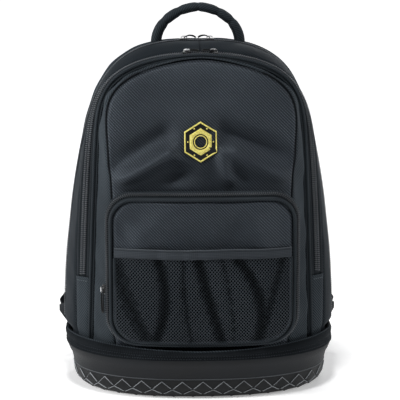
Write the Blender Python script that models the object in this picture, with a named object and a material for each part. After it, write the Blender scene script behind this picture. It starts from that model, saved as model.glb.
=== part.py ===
"""Tool backpack on a moulded rubber base.

The bag is one skin of seams. Each row of SEAMS is a seam that runs from the base over the top
and down the other side, and the strips between two seams are the gussets and zip tapes.
Units are metres, +Z is up, the front faces -Y and the bag stands on its base at Z = 0.
"""
import math
from typing import NamedTuple

import bmesh
import bpy
from mathutils import Matrix, Vector

# Driving sizes of the bag
BODY_HEIGHT = 0.460
BODY_WIDTH = 0.369
BODY_DEPTH = 0.200
CLOTH = 0.0020
PADDED_BACK = 0.010
GAP = 0.0003
FOOT_STATIONS = 2
SIDE_STEPS = 2
ARCH_STEPS = 13

# Base: a rubber cup under a stitched band
BASE_RIM = 0.054
BAND_TOP = 0.068
BAND_THICKNESS = 0.0025
TUB_WALL = 0.0030
TREAD_TOP = 0.463 * BASE_RIM
TREAD_PITCH = 0.028
TREAD_RELIEF = 0.0018
TREAD_PAD_SHARE = 0.80
TUCK_CLEARANCE = 0.0008
TUCK_DEPTH = 0.020
TUCK_BLEND = 0.011

# Front panel and pocket
PANEL_BULGE = 0.009
POCKET_HALF_WIDTH = 0.3198 * BODY_WIDTH
POCKET_TOP = 0.5772 * BODY_HEIGHT
POCKET_BOTTOM = 0.1598 * BODY_HEIGHT
POCKET_DEPTH = 0.039
POCKET_SEAT = 0.0006
NET_SEAT = -0.0005
BADGE_SEAT = 0.0008
NET = 0.0010
NET_TOP = 0.413 * BODY_HEIGHT
NET_SLACK = 0.014
BINDING_HEIGHT = 0.012
BINDING_THICKNESS = 0.0022
PIPING_RISE = 0.0028

# Badge on the front panel
BADGE_WIDTH = 0.043
BADGE_HEIGHT = 0.053
BADGE_THICKNESS = 0.0012
BADGE_X = -0.002
BADGE_Z = 0.7326 * BODY_HEIGHT

# Carrying handle
HANDLE_FOOT_HALF = 0.0565
HANDLE_RISE = 0.047
HANDLE_THICKNESS = 0.0150
HANDLE_TOP_THICKNESS = 0.0125
HANDLE_DEPTH = 0.024
HANDLE_Y = -0.030
HANDLE_SEAT = 0.0015

# Shoulder straps, behind the bag
STRAP_WIDTH = 0.064
STRAP_THICKNESS = 0.012
STRAP_TOP_X = 0.052
STRAP_TOP_Z = 0.430
STRAP_END_X = 0.120
STRAP_END_Z = 0.175
STRAP_BOW = 0.044
STRAP_SEAT = -0.0002
WEB_WIDTH = 0.020
WEB_THICKNESS = 0.0022
BUCKLE_WIDTH = 0.032
BUCKLE_LENGTH = 0.026
BUCKLE_THICKNESS = 0.005
WING_REACH = 0.0105
WING_RUN = 0.022
WING_HEIGHT = 0.026
WING_THICKNESS = 0.0025
WING_Z = 0.0690
WING_Y = -0.030
WING_SEAT = -0.0009

# Zip sliders and pulls
SLIDER_LENGTH = 0.012
SLIDER_WIDTH = 0.009
SLIDER_THICKNESS = 0.0026
SLIDER_SEAT = 0.0005
BRIDGE_HEIGHT = 0.0034
BRIDGE_WIDTH = 0.0026
BRIDGE_BAR = 0.0013
PULL_WIRE = 0.0015
PULL_WIDTH = 0.0080
PULL_LENGTH = 0.0155
POCKET_PULL_LENGTH = 0.031
PULL_ARCH = 0.0010
REAR_PULL_ARCH = 0.0035
REAR_SLIDERS_X = (-0.0195, 0.0150)
FRONT_SLIDER_X = 0.0178
ZIP_STOP = 0.3217 * BODY_HEIGHT
POCKET_SLIDER_RISE = 0.378


class Seam(NamedTuple):
    """A seam over the bag. Heights are shares of BODY_HEIGHT, widths of half BODY_WIDTH."""

    name: str
    top: float
    rim: float
    belly: float
    shoulder: float
    shoulder_height: float
    corner: float
    squareness: float
    depth: float
    top_depth: float


SEAMS = (
    Seam("back", .984, .925, .006, .900, .391, 8, 2.90, .035, .035),
    Seam("back_round", .997, .972, .006, .950, .391, 8, 2.90, .090, .090),
    Seam("rear_zip_outer", .9996, .996, .007, .972, .391, 8, 2.90, .210, .210),
    Seam("rear_zip_inner", 1.0, 1.0, .007, .9745, .391, 8, 2.90, .290, .290),
    Seam("gusset_round", .993, .970, .009, .930, .450, 8, 2.60, .395, .390),
    Seam("front_zip_outer", .9737, .905, .011, .880, .5435, 6, 2.05, .500, .485),
    Seam("front_zip_inner", .9680, .826, .000, .786, .5435, 6, 2.60, .575, .545),
    Seam("valley", .9645, .794, .002, .7577, .5435, 8, 1.53, .610, .580),
    Seam("panel_edge", .9600, .640, -.022, .664, .6957, 4, 1.59, .790, .590),
)
SEAM_AT = {seam.name: place for place, seam in enumerate(SEAMS)}
DEPTH_TURN = 5


class Plan(NamedTuple):
    """A rounded outline seen from above, in shares of half BODY_WIDTH and of BODY_DEPTH."""

    width: float
    forward: float
    rearward: float
    centre: float
    front_power: float
    rear_power: float = 5.0

    def reach(self, away, inset):
        """Half width, reach and squareness on the front or rear side, drawn in by inset."""
        wide = self.width * BODY_WIDTH / 2 - inset
        if away < 0:
            return wide, self.forward * BODY_DEPTH - inset, self.front_power
        return wide, self.rearward * BODY_DEPTH - inset, self.rear_power

    def middle(self):
        """Y of the outline's middle."""
        return self.centre * BODY_DEPTH


BAND_TOP_PLAN = Plan(1.0027, .7375, .2875, -.27, 1.8)
BAND_FOOT_PLAN = Plan(.9837, .6925, .3150, -.30, 2.4)
TUB_RIM_PLAN = Plan(.9783, .6875, .3125, -.30, 2.4)


class TubRow(NamedTuple):
    """A level of the tub: height, and how far its outline lies inside the rim's, in shares of BASE_RIM."""

    height: float
    inset: float


TUB_WALL_ROWS = (TubRow(1.0, .0), TubRow(.741, .0926), TubRow(.463, .1574))
TREAD_ROWS = (TubRow(.2537, .1852), TubRow(.1296, .2407), TubRow(.0, .3981))
TUB_INNER_ROWS = (TubRow(1.0, .0), TubRow(.2222, .2037), TubRow(.0741, .3704))


class Fold(NamedTuple):
    """A ridge (height above 0) or dent along a line, as shares of half the width and the height."""

    x0: float
    z0: float
    x1: float
    z1: float
    width: float
    height: float


PANEL_FOLDS = (
    Fold(-.64, .625, -.16, .700, .085, .0040),
    Fold(.16, .695, .64, .625, .085, .0040),
    Fold(-.62, .700, -.34, .755, .090, -.0030),
    Fold(.27, .745, .62, .700, .090, -.0040),
    Fold(-.10, .640, .12, .635, .100, -.0025),
)


class Gather(NamedTuple):
    """A fold down the net, from its binding to its foot, as shares of the pocket's half width."""

    top_x: float
    foot_x: float
    width: float
    depth: float


NET_GATHERS = (
    Gather(-.62, -.50, .10, .0020),
    Gather(-.33, -.40, .11, .0030),
    Gather(-.03, .08, .10, .0025),
    Gather(.30, .22, .11, .0030),
    Gather(.58, .66, .10, .0022),
)


class Finish(NamedTuple):
    """Plain colour of a piece."""

    colour: tuple
    roughness: float
    metallic: float = 0.0


TWILL = Finish((.040, .046, .053), .75)
BALLISTIC = Finish((.032, .037, .043), .70)
TAPE = Finish((.018, .021, .025), .80)
RUBBER = Finish((.024, .027, .030), .55)
NETTING = Finish((.012, .014, .017), .85)
NICKEL = Finish((.62, .62, .60), .25, 1.0)
MOULDED = Finish((.012, .012, .013), .45)
GOLD = Finish((.60, .52, .14), .45)


def clear_scene():
    """Remove what the file opened with."""
    for item in list(bpy.data.objects):
        bpy.data.objects.remove(item, do_unlink=True)


def new_collection(name):
    """Make a collection in the scene."""
    group = bpy.data.collections.new(name)
    bpy.context.scene.collection.children.link(group)
    return group


def paint(piece, finish):
    """Give a piece its own material."""
    material = bpy.data.materials.new(piece.name)
    material.use_nodes = True
    shader = material.node_tree.nodes["Principled BSDF"]
    shader.inputs["Base Color"].default_value = (*finish.colour, 1.0)
    shader.inputs["Roughness"].default_value = finish.roughness
    shader.inputs["Metallic"].default_value = finish.metallic
    material.diffuse_color = (*finish.colour, 1.0)
    piece.data.materials.clear()
    piece.data.materials.append(material)


def smoothstep(value):
    """Ease from 0 to 1."""
    value = min(max(value, 0.0), 1.0)
    return value * value * (3.0 - 2.0 * value)


# Seams of the bag

def half_width(seam, height):
    """Half the bag's width along a seam at a height, below the seam's top."""
    base, shoulder = BAND_TOP, seam.shoulder_height * BODY_HEIGHT
    along = (height - base) / (shoulder - base)
    share = seam.rim + (seam.shoulder - seam.rim) * along + seam.belly * 4 * along * (1 - along)
    if height <= shoulder:
        return share * BODY_WIDTH / 2
    rise = min((height - shoulder) / (seam.top * BODY_HEIGHT - shoulder), 1.0)
    return share * BODY_WIDTH / 2 * (1 - rise ** seam.corner) ** (1 / seam.squareness)


def seam_depth(seam, height):
    """How far in front of the back plane a seam lies at a height."""
    turn = (height / (seam.top * BODY_HEIGHT)) ** DEPTH_TURN
    return -BODY_DEPTH * (seam.depth + (seam.top_depth - seam.depth) * turn)


def spaced(points, count):
    """Pick count + 1 points at equal distances along a chain of points."""
    lengths = [0.0]
    for before, after in zip(points, points[1:]):
        lengths.append(lengths[-1] + (after - before).length)
    picked, place = [], 0
    for step in range(count + 1):
        want = lengths[-1] * step / count
        while place < len(points) - 2 and lengths[place + 1] < want:
            place += 1
        run = lengths[place + 1] - lengths[place]
        picked.append(points[place].lerp(points[place + 1], (want - lengths[place]) / run))
    return picked


def seam_points(seam):
    """Points of a seam from its tucked foot on the left, over the top, to the right."""
    start = BAND_TOP + TUCK_BLEND + GAP
    shoulder, top = seam.shoulder_height * BODY_HEIGHT, seam.top * BODY_HEIGHT
    dense = 120
    heights = [start + (shoulder - start) * step / dense for step in range(dense)]
    chain = [Vector((-half_width(seam, z), 0, z)) for z in heights]
    for step in range(dense + 1):
        angle = math.pi / 2 * step / dense
        height = shoulder + (top - shoulder) * math.sin(angle) ** (2 / seam.corner)
        chain.append(Vector((-half_width(seam, height) if step < dense else 0.0, 0, height)))
    below = [point for point in chain if point.z < ZIP_STOP]
    above = [point for point in chain if point.z >= ZIP_STOP]
    stop = Vector((-half_width(seam, ZIP_STOP), 0, ZIP_STOP))
    arch = spaced(below + [stop], SIDE_STEPS) + spaced([stop] + above, ARCH_STEPS)[1:]
    feet = [Vector((-half_width(seam, z), 0, z)) for z in (BAND_TOP - TUCK_DEPTH, BAND_TOP + GAP * 3)]
    left = [Vector((p.x, seam_depth(seam, p.z), p.z)) for p in feet + arch]
    left = [tucked(point) for point in left]
    return left + [Vector((-p.x, p.y, p.z)) for p in reversed(left[:-1])]


# Outlines seen from above

def plan_point(plan, angle, inset, height):
    """Point on an outline at an angle, 0 at +X and a right angle at the back."""
    wide, deep, power = plan.reach(math.sin(angle), inset)
    x = wide * math.copysign(abs(math.cos(angle)) ** (2 / power), math.cos(angle))
    y = deep * math.copysign(abs(math.sin(angle)) ** (2 / power), math.sin(angle))
    return Vector((x, plan.middle() + y, height))


def plan_angles(plan, count):
    """Angles of count points spaced evenly round an outline, starting at the front's middle."""
    dense = 2400
    angles = [-math.pi / 2 + math.tau * step / dense for step in range(dense + 1)]
    points = [plan_point(plan, angle, 0, 0) for angle in angles]
    lengths = [0.0]
    for before, after in zip(points, points[1:]):
        lengths.append(lengths[-1] + (after - before).length)
    picked, place = [], 0
    for step in range(count):
        while lengths[place] < lengths[-1] * step / count:
            place += 1
        picked.append(angles[place])
    return picked, lengths[-1]


def plan_scale(plan, inset, point):
    """Factor that brings a point inside an outline drawn in by inset, 1 when it is inside."""
    away = point.y - plan.middle()
    wide, deep, power = plan.reach(away, inset)
    reach = (abs(point.x) / wide) ** power + (abs(away) / deep) ** power
    return min(1.0, reach ** (-1 / power)) if reach > 0 else 1.0


def tucked(point):
    """Bring the skin's foot inside the band and the tub, and leave the rest where it is."""
    free = smoothstep((point.z - BAND_TOP - GAP * 3) / TUCK_BLEND)
    if free >= 1.0:
        return point
    inset = BAND_THICKNESS + TUCK_CLEARANCE
    if point.z < BASE_RIM:
        inset = TUB_WALL + TUCK_CLEARANCE + TUB_WALL_ROWS[1].inset * BASE_RIM
    share = min(plan_scale(BAND_TOP_PLAN, inset, point), plan_scale(BAND_FOOT_PLAN, inset, point))
    share += (1 - share) * free
    return Vector((point.x * share, BAND_FOOT_PLAN.middle() * (1 - share) + point.y * share, point.z))


# Closed shells between seams

def finish_mesh(name, mesh_data, finish, group, root, smooth=35):
    """Turn a bmesh into an object with outward faces."""
    bmesh.ops.recalc_face_normals(mesh_data, faces=mesh_data.faces[:])
    mesh = bpy.data.meshes.new(name)
    mesh_data.to_mesh(mesh)
    mesh_data.free()
    piece = bpy.data.objects.new(name, mesh)
    group.objects.link(piece)
    piece.parent = root
    mesh.shade_smooth()
    mesh.set_sharp_from_angle(angle=math.radians(smooth))
    paint(piece, finish)
    return piece


class Skin:
    """Seams as columns of points, with strips of cloth between them."""

    def __init__(self, columns, closed=False):
        self.columns = columns
        self.closed = closed
        self.stations = len(columns[0])

    def station(self, place):
        """A station's number, wrapped round a closed skin and held at an open one's ends."""
        if self.closed:
            return place % self.stations
        return min(max(place, 0), self.stations - 1)

    def normal(self, column, place):
        """Outward mitre direction at a seam point, and how much the mitre lengthens it."""
        here = self.columns[column][place]
        along = self.columns[column][self.station(place + 1)] - self.columns[column][self.station(place - 1)]
        sides = []
        for near in (column - 1, column + 1):
            if 0 <= near < len(self.columns):
                across = (self.columns[near][place] - here) * (1 if near > column else -1)
                sides.append(across.cross(along).normalized())
        total = sum(sides, Vector()).normalized()
        return total, 1 / max(total.dot(sides[0]), 0.62)

    def point(self, column, place, under=0.0):
        """A seam point, or the one under it by the cloth's thickness."""
        direction, stretch = self.normal(column, place)
        return self.columns[column][place] - direction * under * stretch

    def strip(self, first, last, thickness, start=0, end=None):
        """Closed shell between two columns, with a running gap at its edges."""
        end = self.stations - 1 if end is None else end
        places = list(range(self.stations)) if self.closed else list(range(start, end + 1))
        data = bmesh.new()
        layers = []
        for under in (0.0, thickness):
            rows = []
            for place in places:
                row = [self.point(column, place, under) for column in range(first, last + 1)]
                ends = (row[1] - row[0]).normalized(), (row[-2] - row[-1]).normalized()
                row[0] = row[0] + ends[0] * GAP / 2
                row[-1] = row[-1] + ends[1] * GAP / 2
                rows.append(row)
            if not self.closed:
                if start > 0:
                    rows[0] = [a + (b - a).normalized() * GAP / 2 for a, b in zip(rows[0], rows[1])]
                if end < self.stations - 1:
                    rows[-1] = [a + (b - a).normalized() * GAP / 2 for a, b in zip(rows[-1], rows[-2])]
            layers.append([[data.verts.new(p) for p in row] for row in rows])
        outer, inner = layers
        count = len(places)
        turns = count if self.closed else count - 1
        for place in range(turns):
            after = (place + 1) % count
            for layer in layers:
                for column in range(last - first):
                    data.faces.new((layer[place][column], layer[place][column + 1],
                                    layer[after][column + 1], layer[after][column]))
            for column in (0, last - first):
                data.faces.new((outer[place][column], outer[after][column],
                                inner[after][column], inner[place][column]))
        if not self.closed:
            for place in (0, count - 1):
                for column in range(last - first):
                    data.faces.new((outer[place][column], outer[place][column + 1],
                                    inner[place][column + 1], inner[place][column]))
        return data

    def place_on(self, column, share, station):
        """Frame on a strip: a point, the direction along the seam and the outward one."""
        whole = int(station)
        part = station - whole
        near = self.columns[column][whole].lerp(self.columns[column + 1][whole], share)
        far = self.columns[column][whole + 1].lerp(self.columns[column + 1][whole + 1], share)
        across = self.columns[column + 1][whole] - self.columns[column][whole]
        along = (far - near).normalized()
        out = across.cross(along).normalized()
        return near.lerp(far, part), along, out

    def station_at(self, column, axis, value, stations):
        """Station, with its fraction, where a seam passes a value of X or Z."""
        for place in stations:
            low, high = self.columns[column][place][axis], self.columns[column][place + 1][axis]
            if min(low, high) <= value <= max(low, high):
                return place + (value - low) / (high - low)
        return float(stations[0])


def raised_column(skin_columns, before, after, rise):
    """Column halfway between two seams and lifted off the skin, for a round piping."""
    flat = Skin([skin_columns[before], skin_columns[after]])
    raised = []
    for place, (near, far) in enumerate(zip(skin_columns[before], skin_columns[after])):
        raised.append(near.lerp(far, 0.5) + flat.normal(0, place)[0] * rise)
    return raised


def dished_panel(edge, edge_under, centre, surface, thickness, away, rings):
    """Closed shell inside a loop, whose face follows surface(x, z) and whose back lies away from it."""
    step = 0.002
    data = bmesh.new()
    loops, unders = [], []
    count = len(edge)
    for ring in range(rings):
        share = 1 - ring / rings
        top, under = [], []
        for place in range(count):
            if ring == 0:
                top.append(edge[place])
                under.append(edge_under[place])
                continue
            x = centre.x + (edge[place].x - centre.x) * share
            z = centre.z + (edge[place].z - centre.z) * share
            y = surface(x, z)
            tilt = Vector(((surface(x + step, z) - surface(x - step, z)) / (2 * step), -1,
                           (surface(x, z + step) - surface(x, z - step)) / (2 * step))).normalized()
            point = Vector((x, y, z))
            top.append(point)
            under.append(point - tilt * thickness * away)
        loops.append([data.verts.new(p) for p in top])
        unders.append([data.verts.new(p) for p in under])
    hub_y = surface(centre.x, centre.z)
    hubs = (data.verts.new((centre.x, hub_y, centre.z)),
            data.verts.new((centre.x, hub_y + thickness * away, centre.z)))
    for layer, hub in zip((loops, unders), hubs):
        for ring in range(rings - 1):
            for place in range(count):
                after = (place + 1) % count
                data.faces.new((layer[ring][place], layer[ring][after],
                                layer[ring + 1][after], layer[ring + 1][place]))
        for place in range(count):
            data.faces.new((layer[-1][place], layer[-1][(place + 1) % count], hub))
    for place in range(count):
        after = (place + 1) % count
        data.faces.new((loops[0][place], loops[0][after], unders[0][after], unders[0][place]))
    return data


def lofted(rings, closed=False):
    """Closed solid through rings of points, with flat ends, or joined end to end."""
    data = bmesh.new()
    made = [[data.verts.new(p) for p in ring] for ring in rings]
    size = len(rings[0])
    for place in range(len(made) if closed else len(made) - 1):
        near, far = made[place], made[(place + 1) % len(made)]
        for corner in range(size):
            after = (corner + 1) % size
            data.faces.new((near[corner], near[after], far[after], far[corner]))
    if not closed:
        data.faces.new(made[0])
        data.faces.new(list(reversed(made[-1])))
    return data


# Surfaces of the front

def segment_distance(x, z, fold):
    """Distance from a point to a fold's line."""
    half, tall = BODY_WIDTH / 2, BODY_HEIGHT
    start = Vector((fold.x0 * half, fold.z0 * tall))
    run = Vector((fold.x1 * half, fold.z1 * tall)) - start
    along = (Vector((x, z)) - start).dot(run) / run.length_squared
    return (Vector((x, z)) - start - run * min(max(along, 0.0), 1.0)).length


def panel_surface(x, z):
    """Outer face of the front panel."""
    edge = SEAMS[SEAM_AT["panel_edge"]]
    top = edge.top * BODY_HEIGHT
    z = min(z, top)
    width = max(half_width(edge, z), 0.004)
    across = min(abs(x) / width, 1.0)
    fullness = smoothstep((top - z) / (0.16 * BODY_HEIGHT))
    y = seam_depth(edge, z) - PANEL_BULGE * fullness * (1 - across * across)
    fade = (1 - across ** 6) * smoothstep((z - 0.60 * BODY_HEIGHT) / (0.035 * BODY_HEIGHT))
    for fold in PANEL_FOLDS:
        reach = segment_distance(x, z, fold) / (fold.width * BODY_WIDTH / 2)
        y -= fold.height * fade * math.exp(-reach * reach)
    return y


def pocket_surface(x, z):
    """Outer face of the pocket, fullest along its middle and drawn in at its lower corners."""
    across = min(abs(x) / POCKET_HALF_WIDTH, 1.15)
    up = (z - POCKET_BOTTOM) / (POCKET_TOP - POCKET_BOTTOM)
    corner = max(0.0, 1 - up / 0.22)
    y = -SEAMS[SEAM_AT["panel_edge"]].depth * BODY_DEPTH - POCKET_DEPTH
    y += across ** 2 * (0.012 + 0.010 * corner ** 2)
    return y + 0.003 * smoothstep((up - 0.5) / 0.5)


def net_surface(x, z):
    """Outer face of the net, held at the pocket's edges and slack with gathers between."""
    across = min(abs(x) / POCKET_HALF_WIDTH, 1.0)
    up = (z - POCKET_BOTTOM) / (NET_TOP - POCKET_BOTTOM)
    slack = (1 - across ** 4) * (0.25 + 0.75 * math.sin(math.pi * min(up * 0.86 + 0.05, 1.0)))
    slack *= smoothstep(up / 0.14)
    y = pocket_surface(x, z) - NET - NET_SEAT - NET_SLACK * slack
    for gather in NET_GATHERS:
        line = gather.foot_x + (gather.top_x - gather.foot_x) * up
        reach = (x / POCKET_HALF_WIDTH - line) / gather.width
        y += gather.depth * math.exp(-reach * reach) * slack
    return y


def rounded_loop(half, bottom, top, foot_radius, top_radius, side_steps=7, turn_steps=4, flat_steps=6):
    """Loop of (x, z) points round a pocket, from the middle of its foot."""
    points = []
    corners = ((half - foot_radius, bottom + foot_radius, foot_radius, -90),
               (half - top_radius, top - top_radius, top_radius, 0),
               (-half + top_radius, top - top_radius, top_radius, 90),
               (-half + foot_radius, bottom + foot_radius, foot_radius, 180))
    for place, (x, z, radius, start) in enumerate(corners):
        for step in range(turn_steps + 1):
            angle = math.radians(start + 90 * step / turn_steps)
            points.append((x + radius * math.cos(angle), z + radius * math.sin(angle)))
        after = corners[(place + 1) % 4]
        first = math.radians(after[3])
        target = (after[0] + after[2] * math.cos(first), after[1] + after[2] * math.sin(first))
        steps = side_steps if place % 2 == 0 else flat_steps
        here = points[-1]
        for step in range(1, steps):
            share = step / steps
            points.append((here[0] + (target[0] - here[0]) * share, here[1] + (target[1] - here[1]) * share))
    return points


# Sub-assemblies

def build_body(group, root):
    """Gussets, zips, piping, front panel and back panel."""
    columns = [seam_points(seam) for seam in SEAMS]
    inner, valley = SEAM_AT["front_zip_inner"], SEAM_AT["valley"]
    columns.insert(valley, raised_column(columns, inner, valley, PIPING_RISE))
    front_edge = columns[-1]
    back_edge = columns[0]
    hub = Vector((0, 0, 0.52 * BODY_HEIGHT))
    near = 0.9
    guide_front = [tucked(Vector((p.x * near, panel_surface(p.x * near, hub.z + (p.z - hub.z) * near),
                                  hub.z + (p.z - hub.z) * near))) for p in front_edge]
    guide_back = [Vector((p.x * near, p.y + 0.004, hub.z + (p.z - hub.z) * near)) for p in back_edge]
    skin = Skin([guide_back] + columns + [guide_front])
    shift = 1
    at = {name: place + shift + (1 if place >= valley else 0) for name, place in SEAM_AT.items()}
    stations = skin.stations
    stop = FOOT_STATIONS + SIDE_STEPS

    strips = (
        ("rear_gusset", "back", "rear_zip_outer", TWILL, 0, None),
        ("rear_zip", "rear_zip_outer", "rear_zip_inner", TAPE, 0, None),
        ("mid_gusset", "rear_zip_inner", "front_zip_outer", TWILL, 0, None),
        ("front_zip", "front_zip_outer", "front_zip_inner", TAPE, stop, stations - 1 - stop),
        ("zip_end_left", "front_zip_outer", "front_zip_inner", TWILL, 0, stop),
        ("zip_end_right", "front_zip_outer", "front_zip_inner", TWILL, stations - 1 - stop, stations - 1),
        ("front_piping", "front_zip_inner", "valley", TAPE, 0, None),
        ("front_gusset", "valley", "panel_edge", TWILL, 0, None),
    )
    for name, first, last, finish, start, end in strips:
        data = skin.strip(at[first], at[last], CLOTH, start, end)
        finish_mesh(name, data, finish, group, root)

    panels = (
        ("front_panel", at["panel_edge"], panel_surface, CLOTH, 1, BALLISTIC, 6),
        ("back_panel", at["back"], back_surface, PADDED_BACK, -1, TWILL, 4),
    )
    for name, column, surface, thickness, away, finish, rings in panels:
        direction = 1 if away > 0 else -1
        edge = [skin.columns[column][s] for s in range(stations)]
        under = [skin.point(column, s, CLOTH) for s in range(stations)]
        toward = [skin.columns[column + direction][s] for s in range(stations)]
        edge = [p + (q - p).normalized() * GAP / 2 for p, q in zip(edge, toward)]
        under = [p + (q - r).normalized() * GAP / 2 for p, q, r in zip(under, toward, edge)]
        bridge = 6
        for step in range(1, bridge):
            share = step / bridge
            foot = edge[stations - 1].lerp(edge[0], share)
            edge.append(foot)
            under.append(under[stations - 1].lerp(under[0], share))
        held = surface
        data = dished_panel(edge, under, hub, lambda x, z, held=held: tucked_surface(held, x, z),
                            thickness, away, rings)
        finish_mesh(name, data, finish, group, root)
    return skin, at


def tucked_surface(surface, x, z):
    """A panel's surface, drawn inside the band below the band's top."""
    return tucked(Vector((x, surface(x, z), z))).y


def back_surface(x, z):
    """Outer face of the padded back: two soft columns beside a shallow channel."""
    edge = SEAMS[SEAM_AT["back"]]
    top = edge.top * BODY_HEIGHT
    width = max(half_width(edge, min(z, top)), 0.004)
    across = min(abs(x) / width, 1.0)
    fullness = smoothstep((top - z) / (0.12 * BODY_HEIGHT))
    fullness *= smoothstep((z - BAND_TOP) / (0.08 * BODY_HEIGHT))
    crown = 1 - across ** 4 - 0.5 * math.exp(-(across / 0.16) ** 2)
    return seam_depth(edge, min(z, top)) + BODY_DEPTH * edge.depth * fullness * crown


def build_pocket(group, root):
    """Zipped pocket on the front panel, with its net."""
    half, low, high = POCKET_HALF_WIDTH, POCKET_BOTTOM, POCKET_TOP
    flare = 0.0095
    loops = (
        (half, low + 0.0020, high - 0.0035, .034, .028, lambda x, z: panel_surface(x, z) - POCKET_SEAT),
        (half + flare, low - 0.0010, high + 0.0080, .040, .035, lambda x, z: pocket_surface(x, z) * 0.35
         + panel_surface(half, z) * 0.65 - 0.0030),
        (half + flare - 0.0020, low - 0.0010, high + 0.0065, .039, .034,
         lambda x, z: pocket_surface(x, z) * 0.62 + panel_surface(half, z) * 0.38 - 0.0010),
        (half + 0.0030, low, high + 0.0010, .036, .031, lambda x, z: pocket_surface(x, z) + 0.0050),
        (half - 0.0010, low + 0.0025, high - 0.0020, .033, .028, pocket_surface),
    )
    columns = []
    for width, bottom, top, foot, crown, depth in loops:
        outline = rounded_loop(width, bottom, top, foot, crown)
        columns.append([Vector((x, depth(x, z), z)) for x, z in outline])
    hub = Vector((0, 0, (low + high) / 2))
    near = [Vector((p.x * 0.9, 0, hub.z + (p.z - hub.z) * 0.9)) for p in columns[-1]]
    edge_far = [Vector((p.x, pocket_surface(p.x, p.z), p.z)) for p in near]
    raised = []
    for place, (near, far) in enumerate(zip(columns[3], columns[4])):
        out = Vector((near.x, 0, near.z - (low + high) / 2)).normalized() * 0.5 + Vector((0, -1, 0))
        raised.append(near.lerp(far, 0.5) + out.normalized() * PIPING_RISE * 0.6)
    columns.insert(4, raised)
    skin = Skin(columns + [edge_far], closed=True)
    if skin.normal(1, 0)[0].z > 0:
        skin = Skin([list(reversed(column)) for column in skin.columns], closed=True)
    for name, first, last, finish in (("pocket_gusset", 0, 1, TWILL), ("pocket_zip", 1, 3, TAPE),
                                      ("pocket_piping", 3, 5, TAPE)):
        finish_mesh(name, skin.strip(first, last, CLOTH), finish, group, root)
    edge = [p + (q - p).normalized() * GAP / 2 for p, q in zip(skin.columns[5], skin.columns[6])]
    under = [skin.point(5, s, CLOTH) for s in range(skin.stations)]
    under = [p + (q - r).normalized() * GAP / 2 for p, q, r in zip(under, skin.columns[6], edge)]
    finish_mesh("pocket_face", dished_panel(edge, under, hub, pocket_surface, CLOTH, 1, 5),
                BALLISTIC, group, root)
    return skin


def net_ring(up, across_steps):
    """Row of (x, z) points across the net at a share of its height, inside the pocket's corners."""
    half = POCKET_HALF_WIDTH - 0.0035
    radius = 0.034
    z = POCKET_BOTTOM + 0.0045 + (NET_TOP - POCKET_BOTTOM - 0.0045) * up
    drop = max(0.0, radius - (z - POCKET_BOTTOM - 0.0045))
    width = half - radius + math.sqrt(max(radius * radius - drop * drop, 0.0))
    return [(-width + 2 * width * step / across_steps, z) for step in range(across_steps + 1)]


def build_net(group, root):
    """Slack net pocket, open at the top, and the elastic binding on its edge."""
    rows, columns = 7, 24
    data = bmesh.new()
    layers = [[], []]
    for row in range(rows + 1):
        up = (row / rows) ** 1.35
        for layer, away in zip(layers, (0.0, NET)):
            layer.append([data.verts.new((x, net_surface(x, z) + away, z)) for x, z in net_ring(up, columns)])
    outer, inner = layers
    for layer in layers:
        for row in range(rows):
            for place in range(columns):
                data.faces.new((layer[row][place], layer[row][place + 1],
                                layer[row + 1][place + 1], layer[row + 1][place]))
    for row in (0, rows):
        for place in range(columns):
            data.faces.new((outer[row][place], outer[row][place + 1],
                            inner[row][place + 1], inner[row][place]))
    for place in (0, columns):
        for row in range(rows):
            data.faces.new((outer[row][place], outer[row + 1][place],
                            inner[row + 1][place], inner[row][place]))
    finish_mesh("mesh_pocket", data, NETTING, group, root)

    rings = []
    for x, z in net_ring(1.0, columns):
        low, high = z + GAP, z + BINDING_HEIGHT
        front, back = net_surface(x, z) - (BINDING_THICKNESS - NET), BINDING_THICKNESS
        lean = pocket_surface(x, high) - pocket_surface(x, low)
        rings.append([Vector((x, front, low)), Vector((x, front + back, low)),
                      Vector((x, front + back + lean, high)), Vector((x, front + lean, high))])
    finish_mesh("mesh_binding", lofted(rings), TAPE, group, root)


def build_badge(group, root):
    """Six-sided badge with a round hole in its middle, lying on the front panel."""
    rings = []
    sides, steps = 6, 2
    count = sides * steps
    for turn in range(count):
        angle = math.tau * turn / count
        corner = math.cos(math.pi / sides) / math.cos((angle % (math.tau / sides)) - math.pi / sides)
        outer = Vector((math.sin(angle) * BADGE_WIDTH / 2 / math.cos(math.pi / sides) * corner, 0,
                        math.cos(angle) * BADGE_HEIGHT / 2 * corner))
        hole = Vector((math.sin(angle), 0, math.cos(angle))) * BADGE_WIDTH * 0.17
        ring = []
        for point, lift in ((outer, 0.0), (hole, 0.0), (hole, 1.0), (outer, 1.0)):
            x, z = BADGE_X + point.x, BADGE_Z + point.z
            ring.append(Vector((x, panel_surface(x, z) - BADGE_SEAT - BADGE_THICKNESS * lift, z)))
        rings.append(ring)
    finish_mesh("emblem", lofted(rings, closed=True), GOLD, group, root)


def middle_of(points):
    """Centre of a cell's corners."""
    return sum(points, Vector()) / len(points)


def raised_cell(data, corners, base, outward):
    """Raise a flat pad inside a cell, and close the slopes between them."""
    centre = middle_of(base)
    pads = [data.verts.new(centre + (p - centre) * TREAD_PAD_SHARE + outward * TREAD_RELIEF) for p in base]
    for place in range(len(corners)):
        after = (place + 1) % len(corners)
        data.faces.new((corners[place], corners[after], pads[after], pads[place]))
    data.faces.new(pads)


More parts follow.
